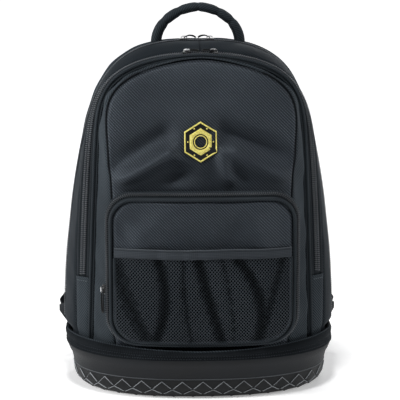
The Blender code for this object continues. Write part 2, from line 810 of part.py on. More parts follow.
def build_base(group, root):
    """Rubber tub with raised diamonds round its foot, and the stitched band on its rim."""
    diamonds = round(plan_angles(TUB_RIM_PLAN, 4)[1] / TREAD_PITCH)
    angles, _ = plan_angles(TUB_RIM_PLAN, 2 * diamonds)
    count = len(angles)
    data = bmesh.new()

    def level(row, wall=0.0, pick=range(count)):
        points = {p: plan_point(TUB_RIM_PLAN, angles[p], row.inset * BASE_RIM + wall, row.height * BASE_RIM)
                  for p in pick}
        return {p: data.verts.new(v) for p, v in points.items()}

    def band_of_faces(low, high):
        for place in range(count):
            after = (place + 1) % count
            data.faces.new((low[place], low[after], high[after], high[place]))

    wall = [level(row) for row in TUB_WALL_ROWS]
    for high, low in zip(wall, wall[1:]):
        band_of_faces(low, high)
    odd, even = range(1, count, 2), range(0, count, 2)
    tread = [level(TREAD_ROWS[0], pick=odd), level(TREAD_ROWS[1], pick=even), level(TREAD_ROWS[2], pick=odd)]
    middle = Vector((0, TUB_RIM_PLAN.middle(), TREAD_TOP))

    def outward_of(points):
        side = (points[1] - points[0]).cross(points[2] - points[0]).normalized()
        return side if side.dot(middle_of(points) - middle) > 0 else -side

    def cell(corners):
        base = [corner.co.copy() for corner in corners]
        raised_cell(data, corners, base, outward_of(base[:3]))

    for place in even:
        right, left = (place + 1) % count, (place - 1) % count
        cell([wall[-1][place], tread[0][right], tread[1][place], tread[0][left]])
        data.faces.new((tread[1][place], tread[2][right], tread[2][left]))
    for place in odd:
        right, left = (place + 1) % count, (place - 1) % count
        cell([wall[-1][left], wall[-1][place], wall[-1][right], tread[0][place]])
        cell([tread[0][place], tread[1][right], tread[2][place], tread[1][left]])
    data.faces.new([tread[2][place] for place in odd])

    inner = [level(row, wall=TUB_WALL) for row in TUB_INNER_ROWS]
    for high, low in zip(inner, inner[1:]):
        band_of_faces(high, low)
    data.faces.new([inner[-1][place] for place in range(count)])
    band_of_faces(wall[0], inner[0])
    finish_mesh("base_tub", data, RUBBER, group, root, smooth=25)

    rings = []
    for angle in plan_angles(BAND_FOOT_PLAN, 56)[0]:
        foot, head = BASE_RIM + GAP, BAND_TOP
        rings.append([plan_point(BAND_FOOT_PLAN, angle, 0, foot),
                      plan_point(BAND_TOP_PLAN, angle, 0, head),
                      plan_point(BAND_TOP_PLAN, angle, BAND_THICKNESS, head),
                      plan_point(BAND_FOOT_PLAN, angle, BAND_THICKNESS, foot)])
    finish_mesh("base_band", lofted(rings, closed=True), TWILL, group, root)


def oval(centre, wide, high, side, up, count=10, power=2.6):
    """Ring of points round a rounded section."""
    ring = []
    for step in range(count):
        angle = math.tau * (step + 0.5) / count
        x = math.copysign(abs(math.cos(angle)) ** (2 / power), math.cos(angle)) * wide / 2
        y = math.copysign(abs(math.sin(angle)) ** (2 / power), math.sin(angle)) * high / 2
        ring.append(centre + side * x + up * y)
    return ring


def build_handle(group, root, skin, at):
    """Padded handle that stands on the rear gusset."""
    column = at["back_round"]
    seat = skin.station_at(column, 0, -HANDLE_FOOT_HALF, range(2, skin.stations // 2))
    foot_z = skin.place_on(column, 0.5, seat)[0].z + HANDLE_SEAT
    rings = []
    steps = 16
    for step in range(steps + 1):
        angle = math.pi * step / steps
        across, rise = -math.cos(angle), math.sin(angle)
        x = HANDLE_FOOT_HALF * math.copysign(abs(across) ** 1.12, across)
        z = foot_z + HANDLE_RISE * rise
        slope = Vector((math.sin(angle), 0, math.cos(angle) * HANDLE_RISE / HANDLE_FOOT_HALF)).normalized()
        if step in (0, steps):
            slope = Vector((0, 0, math.copysign(1, math.cos(angle))))
        side = Vector((0, 1, 0))
        up = side.cross(slope)
        thick = HANDLE_THICKNESS + (HANDLE_TOP_THICKNESS - HANDLE_THICKNESS) * rise
        rings.append(oval(Vector((x, HANDLE_Y, z)), HANDLE_DEPTH, thick, side, up))
    finish_mesh("handle", lofted(rings), TWILL, group, root, smooth=60)


def strap_path():
    """Middle line of the right shoulder strap, from its seat on the back panel to its buckle."""
    lift = STRAP_THICKNESS / 2 + STRAP_SEAT
    top = back_surface(STRAP_TOP_X, STRAP_TOP_Z) + lift
    rows = ((0.00, 0.00, 0.0), (0.05, 0.02, 0.22), (0.20, 0.06, 0.62), (0.40, 0.17, 0.94),
            (0.60, 0.36, 1.00), (0.80, 0.64, 0.92), (1.00, 1.00, 0.78))
    points = []
    for down, out, bow in rows:
        x = STRAP_TOP_X + (STRAP_END_X - STRAP_TOP_X) * out
        z = STRAP_TOP_Z + (STRAP_END_Z - STRAP_TOP_Z) * down
        points.append(Vector((x, top + (STRAP_BOW - lift) * bow, z)))
    return points


def smooth_path(points, steps):
    """Points along a smooth curve through the given ones."""
    chain = []
    padded = [points[0] * 2 - points[1]] + points + [points[-1] * 2 - points[-2]]
    for a, b, c, d in zip(padded, padded[1:], padded[2:], padded[3:]):
        for step in range(12):
            t = step / 12
            chain.append(0.5 * (2 * b + (c - a) * t + (2 * a - 5 * b + 4 * c - d) * t * t
                                + (3 * b - a - 3 * c + d) * t ** 3))
    return spaced(chain + [points[-1]], steps)


def ribbon(points, wide, thick, side_hints, power=2.6, count=8):
    """Strap or webbing along a path, turning from the first side direction to the last."""
    rings = []
    for place, point in enumerate(points):
        side_hint = side_hints[0].lerp(side_hints[1], smoothstep(place / (len(points) - 1)))
        along = (points[min(place + 1, len(points) - 1)] - points[max(place - 1, 0)]).normalized()
        side = (side_hint - along * side_hint.dot(along)).normalized()
        rings.append(oval(point, wide, thick, side, along.cross(side), count, power))
    return lofted(rings)


def mirrored(data):
    """Copy of a mesh on the other side of the bag's middle."""
    other = data.copy()
    bmesh.ops.scale(other, vec=(-1, 1, 1), verts=other.verts[:])
    return other


def build_straps(group, root, skin, at):
    """Shoulder straps, buckles, lower webbing and the anchors in the side seams."""
    sideways, upright = Vector((1, 0, 0)), Vector((0, 0, 1))
    path = smooth_path(strap_path(), 14)
    pad = ribbon(path, STRAP_WIDTH, STRAP_THICKNESS, (sideways, sideways), 4.0, 10)

    along = (path[-1] - path[-2]).normalized()
    across = (sideways - along * sideways.dot(along)).normalized()
    middle = path[-1] + along * (BUCKLE_LENGTH / 2 + GAP)
    frame = Matrix((across, along, along.cross(across))).transposed().to_4x4()
    frame.translation = middle
    buckle = buckle_mesh()
    bmesh.ops.transform(buckle, matrix=frame, verts=buckle.verts[:])

    column = at["back_round"]
    seat = Vector((max(-skin.columns[near][FOOT_STATIONS].x for near in (column, column + 1)) + WING_SEAT,
                   WING_Y, WING_Z + WING_HEIGHT / 2))
    tip = seat + Vector((WING_REACH, WING_RUN, 0))
    run = (tip - seat).normalized()
    face = run.cross(upright).normalized() * WING_THICKNESS / 2
    wing = []
    for share, height in ((0.0, WING_HEIGHT), (0.45, WING_HEIGHT * 0.72), (1.0, WING_HEIGHT * 0.34)):
        spot = seat.lerp(tip, share)
        low, high = spot - upright * height / 2, spot + upright * height / 2
        wing.append([low - face, low + face, high + face, high - face])

    start = middle + along * (BUCKLE_LENGTH / 2 + GAP)
    end = tip - run * 0.004 - face - face.normalized() * (WEB_THICKNESS / 2 + 2 * GAP)
    route = [start + along * 0.004, start + along * 0.014,
             start.lerp(end, 0.50) + Vector((0.006, 0.013, -0.010)), end + run * 0.010, end + run * 0.006]
    route = [start] + smooth_path(route, 10) + [end]
    web = ribbon(route, WEB_WIDTH, WEB_THICKNESS, (across, upright), 6.0, 8)

    pieces = (("strap_pad_", pad, TWILL, 60), ("strap_buckle_", buckle, MOULDED, 35),
              ("anchor_wing_", lofted(wing), TAPE, 35), ("strap_web_", web, TAPE, 35))
    for name, data, finish, smooth in pieces:
        finish_mesh(name + "left", mirrored(data), finish, group, root, smooth)
        finish_mesh(name + "right", data, finish, group, root, smooth)


def buckle_mesh():
    """Ladder-lock frame with two slots, lying in its own XY plane."""
    rim = 0.0042
    wide, long = BUCKLE_WIDTH / 2, BUCKLE_LENGTH / 2
    xs = (-wide, -wide + rim, wide - rim, wide)
    ys = (-long, -long + rim, -rim / 2, rim / 2, long - rim, long)
    holes = {(1, 1), (1, 3)}
    data = bmesh.new()
    layers = [{(i, j): data.verts.new((x, y, z)) for i, x in enumerate(xs) for j, y in enumerate(ys)}
              for z in (-BUCKLE_THICKNESS / 2, BUCKLE_THICKNESS / 2)]
    filled = {(i, j) for i in range(len(xs) - 1) for j in range(len(ys) - 1)} - holes
    for i, j in sorted(filled):
        ring = ((i, j), (i + 1, j), (i + 1, j + 1), (i, j + 1))
        for layer in layers:
            data.faces.new([layer[key] for key in ring])
        for place, (a, b) in enumerate(zip(ring, ring[1:] + ring[:1])):
            beside = ((i, j - 1), (i + 1, j), (i, j + 1), (i - 1, j))[place]
            if beside not in filled:
                data.faces.new((layers[0][a], layers[0][b], layers[1][b], layers[1][a]))
    return data


def slider_shape(cutters):
    """Slider body with its bridge, as one mesh lying on its tape, zip along X and outward +Z."""
    plate = bmesh.new()
    bmesh.ops.create_cube(plate, size=1.0)
    size = Matrix.Diagonal((SLIDER_LENGTH, SLIDER_WIDTH, SLIDER_THICKNESS, 1))
    bmesh.ops.transform(plate, matrix=size, verts=plate.verts[:])
    for vertex in plate.verts:
        vertex.co.z += SLIDER_THICKNESS / 2
        if vertex.co.x > 0:
            vertex.co.y *= 0.7
    bmesh.ops.bevel(plate, geom=plate.edges[:], offset=SLIDER_THICKNESS * 0.22, segments=1,
                    profile=0.5, affect="EDGES")
    arch = bmesh.new()
    reach, low, top = SLIDER_LENGTH * 0.36, SLIDER_THICKNESS * 0.8, SLIDER_THICKNESS + BRIDGE_HEIGHT
    bar = BRIDGE_BAR
    outline = ((-reach, low), (-reach, top - bar), (-reach + bar, top), (reach - bar, top),
               (reach, top - bar), (reach, low), (reach - bar, low), (reach - bar, top - bar * 1.3),
               (-reach + bar, top - bar * 1.3), (-reach + bar, low))
    sides = [[arch.verts.new((x, y, z)) for x, z in outline] for y in (-BRIDGE_WIDTH / 2, BRIDGE_WIDTH / 2)]
    arch.faces.new(sides[0])
    arch.faces.new(list(reversed(sides[1])))
    for place in range(len(outline)):
        after = (place + 1) % len(outline)
        arch.faces.new((sides[0][place], sides[0][after], sides[1][after], sides[1][place]))
    pieces = []
    for name, data in (("slider_plate", plate), ("slider_bridge", arch)):
        bmesh.ops.recalc_face_normals(data, faces=data.faces[:])
        mesh = bpy.data.meshes.new(name)
        data.to_mesh(mesh)
        data.free()
        piece = bpy.data.objects.new(name, mesh)
        cutters.objects.link(piece)
        piece.hide_render = True
        piece.display_type = "WIRE"
        pieces.append(piece)
    union = pieces[0].modifiers.new("bridge", "BOOLEAN")
    union.operation = "UNION"
    union.object = pieces[1]
    bpy.context.view_layer.update()
    return bpy.data.meshes.new_from_object(pieces[0].evaluated_get(bpy.context.evaluated_depsgraph_get()))


def pull_mesh(length, wide, arch):
    """Wire loop through the bridge, its crossbar on the local Y axis."""
    radius = PULL_WIRE / 2
    half = wide / 2 - radius
    turn = half * 0.9
    outline = [Vector((0, -half * 0.5, 0)), Vector((0, half * 0.5, 0)), Vector((0, half, 0))]
    for step in (1, 2):
        outline.append(Vector((step * (length - turn) / 2, half, 0)))
    for step in range(1, 4):
        angle = math.pi * step / 4
        outline.append(Vector((length - turn + turn * math.sin(angle), half * math.cos(angle), 0)))
    for step in (2, 1, 0):
        outline.append(Vector((step * (length - turn) / 2, -half, 0)))
    for point in outline:
        point.z = arch * math.sin(math.pi * min(point.x / length, 1.0))
    rings = []
    count = len(outline)
    for place, point in enumerate(outline):
        along = (outline[(place + 1) % count] - outline[place - 1]).normalized()
        side = along.cross(Vector((0, 0, 1))).normalized()
        rings.append(oval(point, PULL_WIRE, PULL_WIRE, side, side.cross(along), 5, 2.0))
    return lofted(rings, closed=True)


def build_sliders(group, root, cutters, skin, at, pocket):
    """Five zip sliders and the pulls that swing on them."""
    shape = slider_shape(cutters)
    rear, front = at["rear_zip_outer"], at["front_zip_outer"]
    upper = range(2, skin.stations - 3)
    height = POCKET_BOTTOM + (POCKET_TOP - POCKET_BOTTOM) * POCKET_SLIDER_RISE
    low = pocket.station_at(1, 2, height, [s for s in range(pocket.stations - 1)
                                           if pocket.columns[1][s].x < -POCKET_HALF_WIDTH])
    seats = {name: skin.place_on(column, 0.5, skin.station_at(column, 0, x, upper))
             for name, column, x in (("rear_left", rear, REAR_SLIDERS_X[0]),
                                     ("rear_right", rear, REAR_SLIDERS_X[1]),
                                     ("front_left", front, -FRONT_SLIDER_X),
                                     ("front_right", front, FRONT_SLIDER_X))}
    rows = (
        ("rear_left", seats["rear_left"], 1, PULL_LENGTH, REAR_PULL_ARCH),
        ("rear_right", seats["rear_right"], -1, PULL_LENGTH, REAR_PULL_ARCH),
        ("front_left", seats["front_left"], 1, PULL_LENGTH, PULL_ARCH),
        ("front_right", seats["front_right"], -1, PULL_LENGTH, PULL_ARCH),
        ("pocket", pocket.place_on(1, 0.45, low), 0, POCKET_PULL_LENGTH, PULL_ARCH),
    )
    for name, (point, along, out), facing, length, arch in rows:
        if facing == 0:
            facing = 1 if along.z < 0 else -1
        along = along * facing
        frame = Matrix((along, out.cross(along), out)).transposed().to_4x4()
        frame.translation = point + out * SLIDER_SEAT
        slider = bpy.data.objects.new("slider_" + name, shape.copy())
        group.objects.link(slider)
        slider.parent = root
        slider.matrix_local = frame
        paint(slider, NICKEL)
        loop = pull_mesh(length, PULL_WIDTH, arch)
        pull = finish_mesh("pull_" + name, loop, MOULDED, group, root, smooth=60)
        lift = SLIDER_THICKNESS + (BRIDGE_HEIGHT - BRIDGE_BAR * 1.3) / 2
        pull.matrix_local = frame @ Matrix.Translation((0, 0, lift))


def centre_on_base(root, group):
    """Put the bag's middle over the origin, with its foot on the ground."""
    bpy.context.view_layer.update()
    corners = []
    graph = bpy.context.evaluated_depsgraph_get()
    for piece in group.objects:
        if piece.type == "MESH":
            seen = piece.evaluated_get(graph)
            corners += [piece.matrix_world @ vertex.co for vertex in seen.data.vertices]
    for axis in (0, 1):
        values = [corner[axis] for corner in corners]
        root.location[axis] = -(min(values) + max(values)) / 2
    root.location.z = -min(corner.z for corner in corners)


def main():
    """Build the backpack."""
    clear_scene()
    group = new_collection("tool_backpack")
    cutters = new_collection("cutters")
    root = bpy.data.objects.new("backpack", None)
    group.objects.link(root)
    skin, at = build_body(group, root)
    pocket = build_pocket(group, root)
    build_net(group, root)
    build_badge(group, root)
    build_base(group, root)
    build_handle(group, root, skin, at)
    build_straps(group, root, skin, at)
    build_sliders(group, root, cutters, skin, at, pocket)
    centre_on_base(root, group)


if __name__ == "__main__":
    main()
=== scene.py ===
"""Looks of a tool backpack on a moulded rubber base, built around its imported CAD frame.

Sizes are metres, +Z is up and the bag's front faces -Y. Shapes are worked out in the bag's own frame,
where Y = 0 is the plane of its back, and Workshop moves them to where the CAD pieces stand.
"""
import logging
import math
from dataclasses import dataclass, field
from enum import Enum
from typing import Callable, Optional, Sequence, Union

import bmesh
import bpy
import numpy as np
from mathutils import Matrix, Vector

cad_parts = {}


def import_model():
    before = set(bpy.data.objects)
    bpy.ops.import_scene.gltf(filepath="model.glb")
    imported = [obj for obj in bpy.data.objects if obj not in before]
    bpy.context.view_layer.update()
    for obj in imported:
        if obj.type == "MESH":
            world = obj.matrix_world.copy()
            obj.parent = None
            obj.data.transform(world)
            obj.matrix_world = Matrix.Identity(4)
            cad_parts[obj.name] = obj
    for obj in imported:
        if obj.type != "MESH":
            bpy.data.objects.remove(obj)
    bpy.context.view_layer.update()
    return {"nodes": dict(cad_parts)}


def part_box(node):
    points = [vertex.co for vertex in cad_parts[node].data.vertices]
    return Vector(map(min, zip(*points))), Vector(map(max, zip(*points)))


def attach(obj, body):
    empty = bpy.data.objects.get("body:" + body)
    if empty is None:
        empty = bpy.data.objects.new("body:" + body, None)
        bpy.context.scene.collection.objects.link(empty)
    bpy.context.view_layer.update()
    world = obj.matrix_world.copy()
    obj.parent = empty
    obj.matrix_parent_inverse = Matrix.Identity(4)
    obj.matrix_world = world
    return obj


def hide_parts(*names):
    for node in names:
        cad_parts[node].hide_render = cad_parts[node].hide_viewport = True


log = logging.getLogger("tool_backpack")

Array = np.ndarray
Colour = tuple[float, float, float]
Spot = tuple[float, float, float]
WEAVE_MAP = "weave"

BODY_HEIGHT = 0.460
BODY_WIDTH = 0.369
BODY_DEPTH = 0.200
BAND_TOP = 0.068
BASE_RIM = 0.054
HANDLE_Y = -0.030
BADGE_Z = 0.7326 * BODY_HEIGHT
STITCH = (0.0009, 0.0007)
STITCH_SINK = 0.0001
HUB_Z = 0.52 * BODY_HEIGHT
BAG_MIDDLE = np.array((0.0, -0.085, 0.22))
FORWARD = np.array((0.0, -1.0, 0.0))
COOL_SHEEN = (0.75, 0.83, 0.92, 1.0)
COOL_GLOSS = (0.74, 0.87, 1.0, 1.0)


# Shader maths

class Value:
    """A socket that carries a number, a vector or a colour, with arithmetic on numbers."""

    def __init__(self, shader: "Shader", socket: bpy.types.NodeSocket) -> None:
        """Wrap a socket of a shader's node."""
        self.shader = shader
        self.socket = socket

    def _math(self, operation: str, *others: Union["Value", float]) -> "Value":
        """Add a Math node.

        Args:
            operation: the node's operation.
            others: its values, in order.

        Returns:
            The node's result.
        """
        return self.shader.node("ShaderNodeMath", {"operation": operation}, dict(enumerate(others)))

    def __add__(self, other: Union["Value", float]) -> "Value":
        """Sum."""
        return self._math("ADD", self, other)

    def __mul__(self, other: Union["Value", float]) -> "Value":
        """Product."""
        return self._math("MULTIPLY", self, other)

    def __sub__(self, other: Union["Value", float]) -> "Value":
        """Difference."""
        return self._math("SUBTRACT", self, other)

    def sine(self) -> "Value":
        """Sine of radians."""
        return self._math("SINE", self)

    def power(self, exponent: float) -> "Value":
        """Raise to a power."""
        return self._math("POWER", self, exponent)

    def absolute(self) -> "Value":
        """Drop the sign."""
        return self._math("ABSOLUTE", self)


class Shader:
    """A material made of nodes."""

    def __init__(self, name: str) -> None:
        """Start an empty material with its Principled shader.

        Args:
            name: its name.
        """
        self.material = bpy.data.materials.new(name)
        self.material.use_nodes = True
        self.tree = self.material.node_tree
        self.tree.nodes.clear()
        self.output = self.tree.nodes.new("ShaderNodeOutputMaterial")
        self.principled = self.tree.nodes.new("ShaderNodeBsdfPrincipled")
        self.tree.links.new(self.principled.outputs[0], self.output.inputs["Surface"])

    def node(self, kind: str, settings: dict, inputs: dict, output: Union[int, str] = 0) -> Value:
        """Add a node.

        Args:
            kind: the node's type.
            settings: its properties, set first.
            inputs: values or links by socket name or number.
            output: which output to return.

        Returns:
            The chosen output.
        """
        made = self.tree.nodes.new(kind)
        for key, value in settings.items():
            if key == "stops":
                self._set_stops(made, value)
            else:
                setattr(made, key, value)
        for key, value in inputs.items():
            if isinstance(value, Value):
                self.tree.links.new(value.socket, made.inputs[key])
            else:
                made.inputs[key].default_value = value
        return Value(self, made.outputs[output])

    @staticmethod
    def _set_stops(ramp: bpy.types.Node, stops: Sequence[tuple[float, float]]) -> None:
        """Give a colour ramp grey stops, as (place, brightness) pairs.

        Args:
            ramp: the node.
            stops: the pairs.
        """
        while len(ramp.color_ramp.elements) < len(stops):
            ramp.color_ramp.elements.new(0.5)
        for element, (place, grey) in zip(ramp.color_ramp.elements, stops):
            element.position = place
            element.color = (grey, grey, grey, 1.0)

    def place(self) -> Value:
        """Point on the piece, in metres."""
        return self.node("ShaderNodeTexCoord", {}, {}, "Object")

    def weave_axes(self) -> tuple[Value, ...]:
        """Distances along and across the cloth, in metres."""
        found = self.node("ShaderNodeUVMap", {"uv_map": WEAVE_MAP}, {})
        return tuple(self.node("ShaderNodeSeparateXYZ", {}, {0: found}, axis) for axis in range(2))

    def cloud(self, scale: float, detail: float = 2.0) -> Value:
        """Soft noise of a scale per metre."""
        inputs = {"Vector": self.place(), "Scale": scale, "Detail": detail}
        return self.node("ShaderNodeTexNoise", {}, inputs, 0)

    def ramp(self, value: Value, stops: Sequence[tuple[float, float]]) -> Value:
        """Map a value through grey stops."""
        return self.node("ShaderNodeValToRGB", {"stops": stops}, {0: value})

    def blend(self, share: Value, low: Union[Value, Colour], high: Union[Value, Colour]) -> Value:
        """Colour between two, by a share.

        Args:
            share: 0 for low and 1 for high.
            low: a colour or a link.
            high: a colour or a link.

        Returns:
            The mixed colour.
        """
        sides = {6: low, 7: high}
        inputs = {key: side if isinstance(side, Value) else (*side, 1.0) for key, side in sides.items()}
        return self.node("ShaderNodeMix", {"data_type": "RGBA"}, {0: share, **inputs}, 2)

    def relief(self, height: Value, depth: float) -> Value:
        """Normal from a height, with the depth in metres."""
        return self.node("ShaderNodeBump", {}, {"Height": height, "Strength": 1.0, "Distance": depth})

    def finish(self, **sockets: Union[Value, float, tuple]) -> bpy.types.Material:
        """Set or link the Principled shader's sockets.

        Args:
            sockets: values by socket name, with _ for a space.

        Returns:
            The finished material.
        """
        for key, value in sockets.items():
            socket = self.principled.inputs[key.replace("_", " ")]
            if isinstance(value, Value):
                self.tree.links.new(value.socket, socket)
            else:
                socket.default_value = value
        return self.material


# Finishes

class Weave(Enum):
    """How a cloth's threads run."""

    TWILL = "twill"
    BALLISTIC = "ballistic"
    RIB = "rib"
    SPACER = "spacer"


@dataclass(frozen=True)
class Cloth:
    """A woven finish: its colours, weave and how rough and raised it is."""

    name: str
    dark: Colour
    light: Colour
    weave: Weave
    pitch: float
    depth: float = 0.0002
    roughness: float = 0.72
    sheen: float = 0.04
    cloudiness: float = 0.5
    gloss: float = 0.11
    polish: float = 0.0

    def threads(self, shader: Shader) -> Value:
        """Height of the threads, from 0 to 1.

        Args:
            shader: the shader that the nodes go into.

        Returns:
            The height.
        """
        along, across = shader.weave_axes()
        turn = math.tau / self.pitch
        if self.weave is Weave.TWILL:
            return ((along + across) * turn).sine() * 0.5 + 0.5
        if self.weave is Weave.BALLISTIC:
            first = ((along + across) * turn).sine()
            second = ((along - across) * turn).sine()
            return (first * 0.5 + 0.5).power(3.0) * (second * 0.22 + 0.78)
        if self.weave is Weave.RIB:
            ribs = (across * turn).sine()
            picks = (along * (turn * 0.8)).sine()
            return ribs * 0.35 + picks * 0.15 + 0.5
        first = (along * turn).sine().absolute()
        second = (across * turn + (along * (turn * 0.5)).sine() * 0.6).sine().absolute()
        return (first * second).power(0.6)

    def material(self) -> bpy.types.Material:
        """Build the material.

        Returns:
            The material.
        """
        shader = Shader(self.name)
        threads = self.threads(shader)
        worn = shader.ramp(shader.cloud(9.0, 3.0), ((0.32, 0.0), (0.72, 1.0)))
        speck = shader.cloud(900.0, 1.0)
        share = threads * (worn * self.cloudiness + (1.05 - self.cloudiness)) * 0.85 + speck * 0.10
        colour = shader.blend(share, self.dark, self.light)
        rough = worn * -0.08 + speck * 0.10 + threads * -self.polish + self.roughness
        height = threads + speck * 0.25
        return shader.finish(Base_Color=colour, Roughness=rough, Normal=shader.relief(height, self.depth),
                             Sheen_Weight=self.sheen, Sheen_Roughness=0.45, Sheen_Tint=COOL_SHEEN,
                             Specular_IOR_Level=self.gloss, Specular_Tint=COOL_GLOSS)


@dataclass(frozen=True)
class Moulded:
    """A moulded rubber or plastic finish with a fine grain."""

    name: str
    colour: Colour
    bloom: Colour
    roughness: float
    grain: float
    depth: float = 0.00012
    coat: float = 0.0

    def material(self) -> bpy.types.Material:
        """Build the material.

        Returns:
            The material.
        """
        shader = Shader(self.name)
        dust = shader.ramp(shader.cloud(14.0, 4.0), ((0.35, 0.0), (0.75, 1.0)))
        grain = shader.cloud(self.grain, 2.0)
        colour = shader.blend(dust * 0.6 + grain * 0.3, self.colour, self.bloom)
        return shader.finish(Base_Color=colour, Roughness=dust * 0.12 + grain * 0.08 + self.roughness,
                             Normal=shader.relief(grain, self.depth), Coat_Weight=self.coat,
                             Coat_Roughness=0.3, Specular_IOR_Level=0.22)


@dataclass(frozen=True)
class Metal:
    """A plated finish with fine scuffs."""

    name: str
    colour: Colour
    scuffed: Colour
    roughness: float
    metallic: float = 1.0

    def material(self) -> bpy.types.Material:
        """Build the material.

        Returns:
            The material.
        """
        shader = Shader(self.name)
        scuffs = shader.ramp(shader.cloud(700.0, 3.0), ((0.42, 0.0), (0.66, 1.0)))
        colour = shader.blend(scuffs, self.colour, self.scuffed)
        return shader.finish(Base_Color=colour, Roughness=scuffs * 0.18 + self.roughness,
                             Metallic=self.metallic, Normal=shader.relief(scuffs, 0.00003))


Finish = Union[Cloth, Moulded, Metal]
Finishes = Union[Finish, Sequence[Finish]]

TWILL = Cloth("twill_cloth", (.0020, .0030, .0040), (.056, .069, .080), Weave.TWILL, 0.0039, depth=0.0005)
DARK_TWILL = Cloth("dark_twill", (.0024, .0032, .0040), (.019, .024, .029), Weave.TWILL, 0.0034)
HANDLE_TWILL = Cloth("handle_twill", (.0026, .0034, .0042), (.036, .045, .052), Weave.TWILL, 0.0040)
BAND_TWILL = Cloth("rim_band_twill", (.0010, .0013, .0016), (.009, .011, .013), Weave.TWILL, 0.0030)
BALLISTIC = Cloth("ballistic_cloth", (.0001, .0003, .0006), (.058, .070, .089), Weave.BALLISTIC, 0.0041,
                  depth=0.00080, roughness=0.56, sheen=0.02, gloss=0.38, polish=0.26)
# Darker copy of the front cloth for the pocket face behind the net: painted shade where the net covers it.
PAINTED_NET_SHADE = Cloth("cloth_painted_shade_behind_net", (.0006, .0008, .0010), (.0040, .0048, .0056), Weave.BALLISTIC, 0.0044,
               gloss=0.05, sheen=0.0)
TAPE = Cloth("zip_tape", (.0016, .0020, .0024), (.026, .031, .036), Weave.RIB, 0.0022)
WEBBING = Cloth("webbing", (.0012, .0014, .0017), (.008, .009, .011), Weave.RIB, 0.0022, depth=0.0003)
BINDING = Cloth("elastic_binding", (.018, .021, .025), (.054, .061, .069), Weave.RIB, 0.0020)
# Lighter copy of the binding for its folded top edge: a painted highlight.
BINDING_HIGHLIGHT = Cloth("elastic_binding_highlight", (.050, .057, .064), (.115, .125, .136), Weave.RIB, 0.0020)
PIPING = Cloth("piping_cloth", (.0034, .0044, .0054), (.038, .046, .053), Weave.TWILL, 0.0030)
SPACER = Cloth("spacer_mesh", (.0012, .0014, .0018), (.020, .023, .028), Weave.SPACER, 0.0040, depth=0.0008)
THREAD = Cloth("thread", (.075, .085, .095), (.190, .205, .220), Weave.TWILL, 0.0006)
DARK_THREAD = Cloth("dark_thread", (.010, .012, .014), (.045, .052, .060), Weave.TWILL, 0.0006)
NET_YARN = Cloth("net_yarn", (.026, .031, .037), (.100, .114, .132), Weave.TWILL, 0.0009, roughness=0.45)
# Darker copies of the net yarn: painted shade for strands in the gathers' folds.
NET_YARN_SHADE = Cloth("net_yarn_painted_shade", (.014, .017, .020), (.050, .057, .066), Weave.TWILL, 0.0009)
NET_YARN_DEEP_SHADE = Cloth("net_yarn_painted_deep_shade", (.006, .008, .009), (.022, .025, .029), Weave.TWILL, 0.0009)
COIL = Moulded("zip_coil", (.030, .034, .040), (.100, .110, .122), 0.30, 900.0, coat=0.3)
DARK_COIL = Moulded("pocket_zip_coil", (.022, .025, .029), (.080, .088, .098), 0.34, 900.0, coat=0.3)
RUBBER = Moulded("base_rubber", (.0028, .0036, .0046), (.0105, .0132, .0164), 0.50, 1100.0, depth=0.0003)
RUBBER_PAD = Moulded("base_rubber_pad", (.0010, .0014, .0018), (.005, .0065, .008), 0.42, 1100.0,
                     depth=0.0003)
# Lighter copy of the tub's rubber for the ridge above the tread: a painted highlight.
RUBBER_RIDGE_HIGHLIGHT = Moulded("base_rubber_ridge_highlight", (.040, .045, .050), (.100, .108, .116), 0.34, 1400.0)
# Light rubber for the diamonds' upper bevels: a painted highlight.
RUBBER_HIGHLIGHT = Moulded("base_rubber_painted_highlight", (.150, .162, .172), (.300, .315, .330), 0.34, 1400.0)
PLASTIC = Moulded("black_plastic", (.0020, .0023, .0026), (.006, .007, .008), 0.55, 1200.0)
PLATE = Moulded("badge_plate", (.0020, .0022, .0025), (.006, .007, .008), 0.5, 1500.0)
GOLD = Metal("gold_print", (.56, .48, .095), (.82, .75, .24), 0.42, 0.25)
# Bright nickel for the sliders' outermost faces: a painted glint.
NICKEL_GLINT = Metal("nickel", (.62, .63, .64), (.85, .85, .84), 0.22, 0.5)
GUNMETAL = Metal("gunmetal", (.020, .021, .022), (.070, .071, .072), 0.30)


# Meshes from arrays

@dataclass
class Surface:
    """Vertices with four-cornered and three-cornered faces, and a place on the cloth for each corner."""

    points: Array
    quads: Array
    quad_places: Array
    triangles: Array = field(default_factory=lambda: np.zeros((0, 3), int))
    triangle_places: Array = field(default_factory=lambda: np.zeros((0, 3, 2)))
    quad_finish: Optional[Array] = None
    triangle_finish: Optional[Array] = None

    def mesh(self, name: str) -> bpy.types.Mesh:
        """Turn the arrays into a mesh.

        Args:
            name: the mesh's name.

        Returns:
            The mesh, smooth shaded, with its weave map.
        """
        made = bpy.data.meshes.new(name)
        made.vertices.add(len(self.points))
        made.vertices.foreach_set("co", self.points.astype(np.float32).ravel())
        corners = np.concatenate([self.quads.ravel(), self.triangles.ravel()]).astype(np.int32)
        totals = np.concatenate([np.full(len(self.quads), 4), np.full(len(self.triangles), 3)])
        made.loops.add(len(corners))
        made.loops.foreach_set("vertex_index", corners)
        made.polygons.add(len(totals))
        made.polygons.foreach_set("loop_start", (np.cumsum(totals) - totals).astype(np.int32))
        made.polygons.foreach_set("loop_total", totals.astype(np.int32))
        if self.quad_finish is not None:
            index = np.concatenate([self.quad_finish, finish_of(self.triangles, self.triangle_finish)])
            made.polygons.foreach_set("material_index", index.astype(np.int32))
        made.update(calc_edges=True)
        layer = made.uv_layers.new(name=WEAVE_MAP)
        places = np.concatenate([self.quad_places.reshape(-1, 2), self.triangle_places.reshape(-1, 2)])
        layer.uv.foreach_set("vector", places.astype(np.float32).ravel())
        made.shade_smooth()
        return made


def finish_of(faces: Array, finish: Optional[Array]) -> Array:
    """Finish number of each face, 0 unless given."""
    return np.zeros(len(faces)) if finish is None else finish


